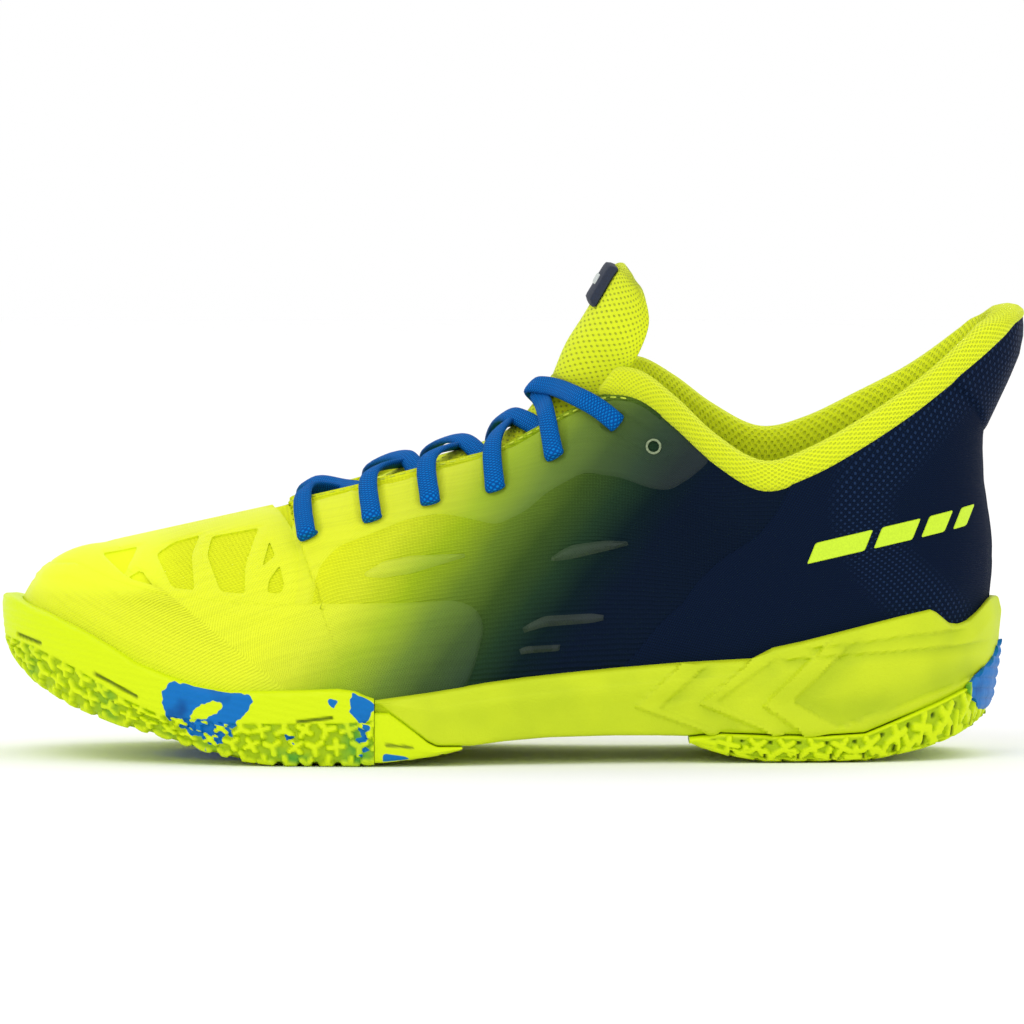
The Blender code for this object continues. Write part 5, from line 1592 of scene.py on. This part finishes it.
def foamRelief(grid, q, side, arc):
    x, z = grid[..., 0], grid[..., 2]
    flat = np.stack([x.ravel(), z.ravel()], axis=1)
    d = np.zeros(len(flat))
    for line, height, reach in creases:
        near, way = lineDistance(flat, rounded(line, 1.0, False))
        inner = ease(near * way, -0.25, 0.25)
        d += 1.45 * height * inner * (1 - ease(near, 0.0, reach))
    d = d.reshape(x.shape) * ((q > 1.5) & (q < 5.6)) * ease(x, -30, 0) * (1 - ease(x, 132, 140))
    ribs = 0.5 * np.sin(x * 2 * math.pi / 6.0) * (q > 7.5) * ease(x, 0, 8) * (1 - ease(x, 42, 50))
    # painted shade: darker where the creases sink in
    return d + ribs, {"deep": np.clip(-d * 1.2, 0, 1) * (q < 6)}


def coreLine(x):
    if x < 0:
        return min(table(waist, x), table(tread, x) + 4.4)
    return min(table(waist, x), 11.6)


soleShell(
    "rear_foam", -39.3, 142.2, 0.75,
    [(5.6, 0, lift(midsoleEdge, 0.3)), (2.2, 0, lift(midsoleEdge, 0.1)),
     (1.1, 0, lift(midsoleEdge, -0.8)),
     (0.2, 0, mixOf(midsoleEdge, waist, 0.35)), (0.8, 0, mixOf(midsoleEdge, waist, 0.7)),
     (1.2, 0, lift(waist, 0.5)), (2.8, 0, lift(waist, 0)), (5.0, 0, coreLine), (5.0, 0.4, coreLine),
     (5.0, 1, coreLine)],
    [3, 3, 14, 14, 8, 3, 3, 14, 18],
    [(5.6, 0, lift(midsoleEdge, -1.2)), (5.6, 0, lift(footbed, -8)), (5.6, 0.4, lift(footbed, -8)),
     (5.6, 1, lift(footbed, -8))],
    foamRelief, finishes["foam"], "rear", ("midsole_rear",))

insertBase = [(50, 60), (131.5, 60), (131.8, 20.6), (136.2, 14.2), (142.2, 15.6)]


def heelTop(x):
    return min(table(waist, x) - 0.2, table(insertBase, x))


def heelRelief(grid, q, side, arc):
    x, y, z = grid[..., 0], grid[..., 1], grid[..., 2]
    low = table(heelTread, x)
    band = np.maximum(table(waist, x) - low, 3.0)
    share = (z - low) / band
    onSide = (q > 0.6) & (q < 4.2)
    below = ease(0.93 - share, 0, 0.08) * onSide
    stars = []
    for k in range(20):
        stars.append((3 + 8.2 * k, 4.2, random.uniform(0, math.pi)))
        stars.append((7 + 8.2 * k, 1.2, random.uniform(0, math.pi)))
    star = starField(arc, share * 8.0, stars, 4, 2.7, 0.8) * below
    pin = np.zeros(x.shape)
    cut = np.zeros(x.shape)
    for k in range(20):
        hole = np.hypot(arc - 6.9 - 8.2 * k, share * 8 - 5.6)
        pin = np.maximum(pin, (1 - ease(hole, 0.3, 0.8)) * onSide)
        gap = np.abs(arc - 2.5 - 9.6 * k)
        cut = np.maximum(cut, (1 - ease(gap, 0.25, 0.7)) * (share < 0.3) * onSide)
    d = -0.8 * below + 1.2 * star - 0.9 * pin - 0.9 * cut
    bottom = q > 4.1
    d = np.where(bottom, herringbone(x, y, 7.5, 1.2) * ease(q, 4.1, 4.4), d)
    fadeOut = ease(x, 54, 62)
    # painted shade: darker between the lugs and in the tread grooves, with a dark tone painted into the
    # pin holes and cuts
    deep = np.maximum(below * (1 - star), bottom * (d < -0.4))
    return d * fadeOut, {"deep": deep * 0.8 * fadeOut, "blue": x * 0, "green": x * 0,
                         "slit": (cut * 0.9 + pin * 0.8).clip(0, 1) * fadeOut}


def heelFloor(x):  # top of the heel rubber, under the foam
    return max(min(coreLine(x) - 0.5, heelTop(x) - 0.5), table(heelTread, x) + 0.4)


def tuck(base):
    return lambda x: base + 4.6 * max(0.0, (x - 130) / 12.2) ** 1.5


soleShell(
    "heel_rubber", 51, 142.2, 0.6,
    [(tuck(2.6), 0, heelTop), (tuck(1.0), 0, lambda x: heelTop(x) - 0.3),
     (tuck(0.3), 0, lambda x: heelTop(x) - 1.2),
     (tuck(0.6), 0, lambda x: min(0.45 * heelTop(x) + 0.55 * table(heelTread, x), heelTop(x) - 1.6)),
     (tuck(1.6), 0, lambda x: min(table(heelTread, x) + 0.8, heelTop(x) - 2)),
     (tuck(2.8), 0, lift(heelTread, 0)), (5.4, 0.35, lift(heelTread, 0)), (5.4, 1, lift(heelTread, 0))],
    [2, 4, 14, 12, 5, 26, 50],
    [(5, 0, heelFloor), (5.4, 0.4, heelFloor), (5.4, 1, heelFloor)],
    heelRelief, finishes["rubber"], "rear", ("outsole_heel",))


def makeInsert():
    xs = np.concatenate([np.linspace(132.2, 140, 40), 142.2 - np.geomspace(2.0, 0.002, 40)])
    line = np.array([(*outlinePoint("L", x, 1.7), x) for x in xs]
                    + [(*outlinePoint("M", x, 1.7), x) for x in xs[::-1]])
    run = runOf(line[:, :2])

    def shape(a, b):
        g = a * run[-1]
        x, y, st = [np.interp(g, run, line[:, k]) for k in range(3)]
        low, high = table(insertBase[2:], st) - 0.8, table(waist, st) - 0.2
        z = low + (high - low) * b
        out = np.stack([x - 128.0, y], axis=1)
        out /= np.linalg.norm(out, axis=1, keepdims=True)
        rib = np.sin((z + a * 3) * 2 * math.pi / 3.0) * ease(np.minimum(a, 1 - a) * run[-1], 0, 2)
        d = 0.3 * rib - 2.7 * (1 - b) ** 1.3 * ease(st, 131, 139)
        return np.stack([x + out[:, 0] * d, y + out[:, 1] * d, z], axis=1)

    def marks(a, b, points):
        z = points[:, 2]
        edge = np.minimum(a, 1 - a) * run[-1]
        # painted shade: the grooves between the ribs are marked darker
        groove = 0.5 - 0.5 * np.sin((z + a * 3) * 2 * math.pi / 3.0)
        return {"blue": ease(edge, 0.6, 2.0), "green": 1 - ease(edge, 0.4, 2.5),
                "deep": groove * 0.5, "slit": groove * 0.15}

    obj = sheetPiece("heel_ribs", 200, 60, shape, None, marks)
    probe = obj.data.polygons[len(obj.data.polygons) // 2 + 100]
    if probe.normal.x < 0:
        obj.data.flip_normals()
    thicken(obj, 1.5)
    wear(obj, finishes["insert"], "rear", ("heel_insert",))


makeInsert()
print("sole ready")


# CAD nodes that stay: boards, stiffeners, cushions, sockliner

inner = {
    "board": ("board_front", "board_rear", "heel_counter", "shank_plate"),
    "foam": ("midsole_forefoot", "heel_cushion", "forefoot_cushion", "collar_foam"),
    "collar": ("sockliner_front", "sockliner_rear"), "clear": ("aglet_1", "aglet_2")}
innerFoam = plainFinish("innerFoam", tone(190, 200, 60), tone(170, 182, 50), 0.8, 2.0, 0.15)
innerCloth = plainFinish("socklinerCloth", tone(186, 204, 30), tone(150, 170, 24), 0.9, 2.6, 0.25)
swaps = {"foam": innerFoam, "collar": innerCloth}
for key, names in inner.items():
    for name in names:
        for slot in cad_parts[name].material_slots:
            slot.material = swaps.get(key, finishes[key]).mat


# Floor, light and camera

stage = {"floorSize": 6.0, "floorColor": (1.0, 1.0, 1.0), "worldLight": 1.0}
clearSelection()
bpy.ops.mesh.primitive_plane_add(size=stage["floorSize"], location=(0, 0, -0.0004))
floor = bpy.context.object
floor.name = "floor"
floorFinish = Finish("paleFloor", stage["floorColor"], 0.8)
floorFinish.put("Specular IOR Level", 0.1)
floor.data.materials.append(floorFinish.mat)

world = bpy.data.worlds.new("studio")
scene.world = world
world.use_nodes = True
world.node_tree.nodes["Background"].inputs["Color"].default_value = (1, 1, 1, 1)
world.node_tree.nodes["Background"].inputs["Strength"].default_value = stage["worldLight"]


def softbox(name, size, energy, place, aim):
    data = bpy.data.lights.new(name, "AREA")
    data.size = size
    data.energy = energy
    lamp = bpy.data.objects.new(name, data)
    scene.collection.objects.link(lamp)
    lamp.location = place
    lamp.rotation_euler = (Vector(aim) - Vector(place)).to_track_quat("-Z", "Y").to_euler()


softbox("keyLight", 0.9, 4.0, (-0.5, -1.0, 1.3), (0, 0, 0.05))
softbox("rimLight", 0.7, 1.6, (0.7, 0.7, 1.0), (0, 0, 0.06))

view = {"elevation": 3.2, "distance": 4.0, "lens": 485.0, "aim": (0.0, 0.0, 0.0697)}
camera = bpy.data.cameras.new("camera")
camera.lens = view["lens"]
eye = bpy.data.objects.new("camera", camera)
scene.collection.objects.link(eye)
tilt = math.radians(view["elevation"])
eye.location = Vector(view["aim"]) + Vector((0, -math.cos(tilt), math.sin(tilt))) * view["distance"]
eye.rotation_euler = (math.pi / 2 - tilt, 0, 0)
scene.camera = eye
scene.view_settings.view_transform = "Standard"
print("stage ready")

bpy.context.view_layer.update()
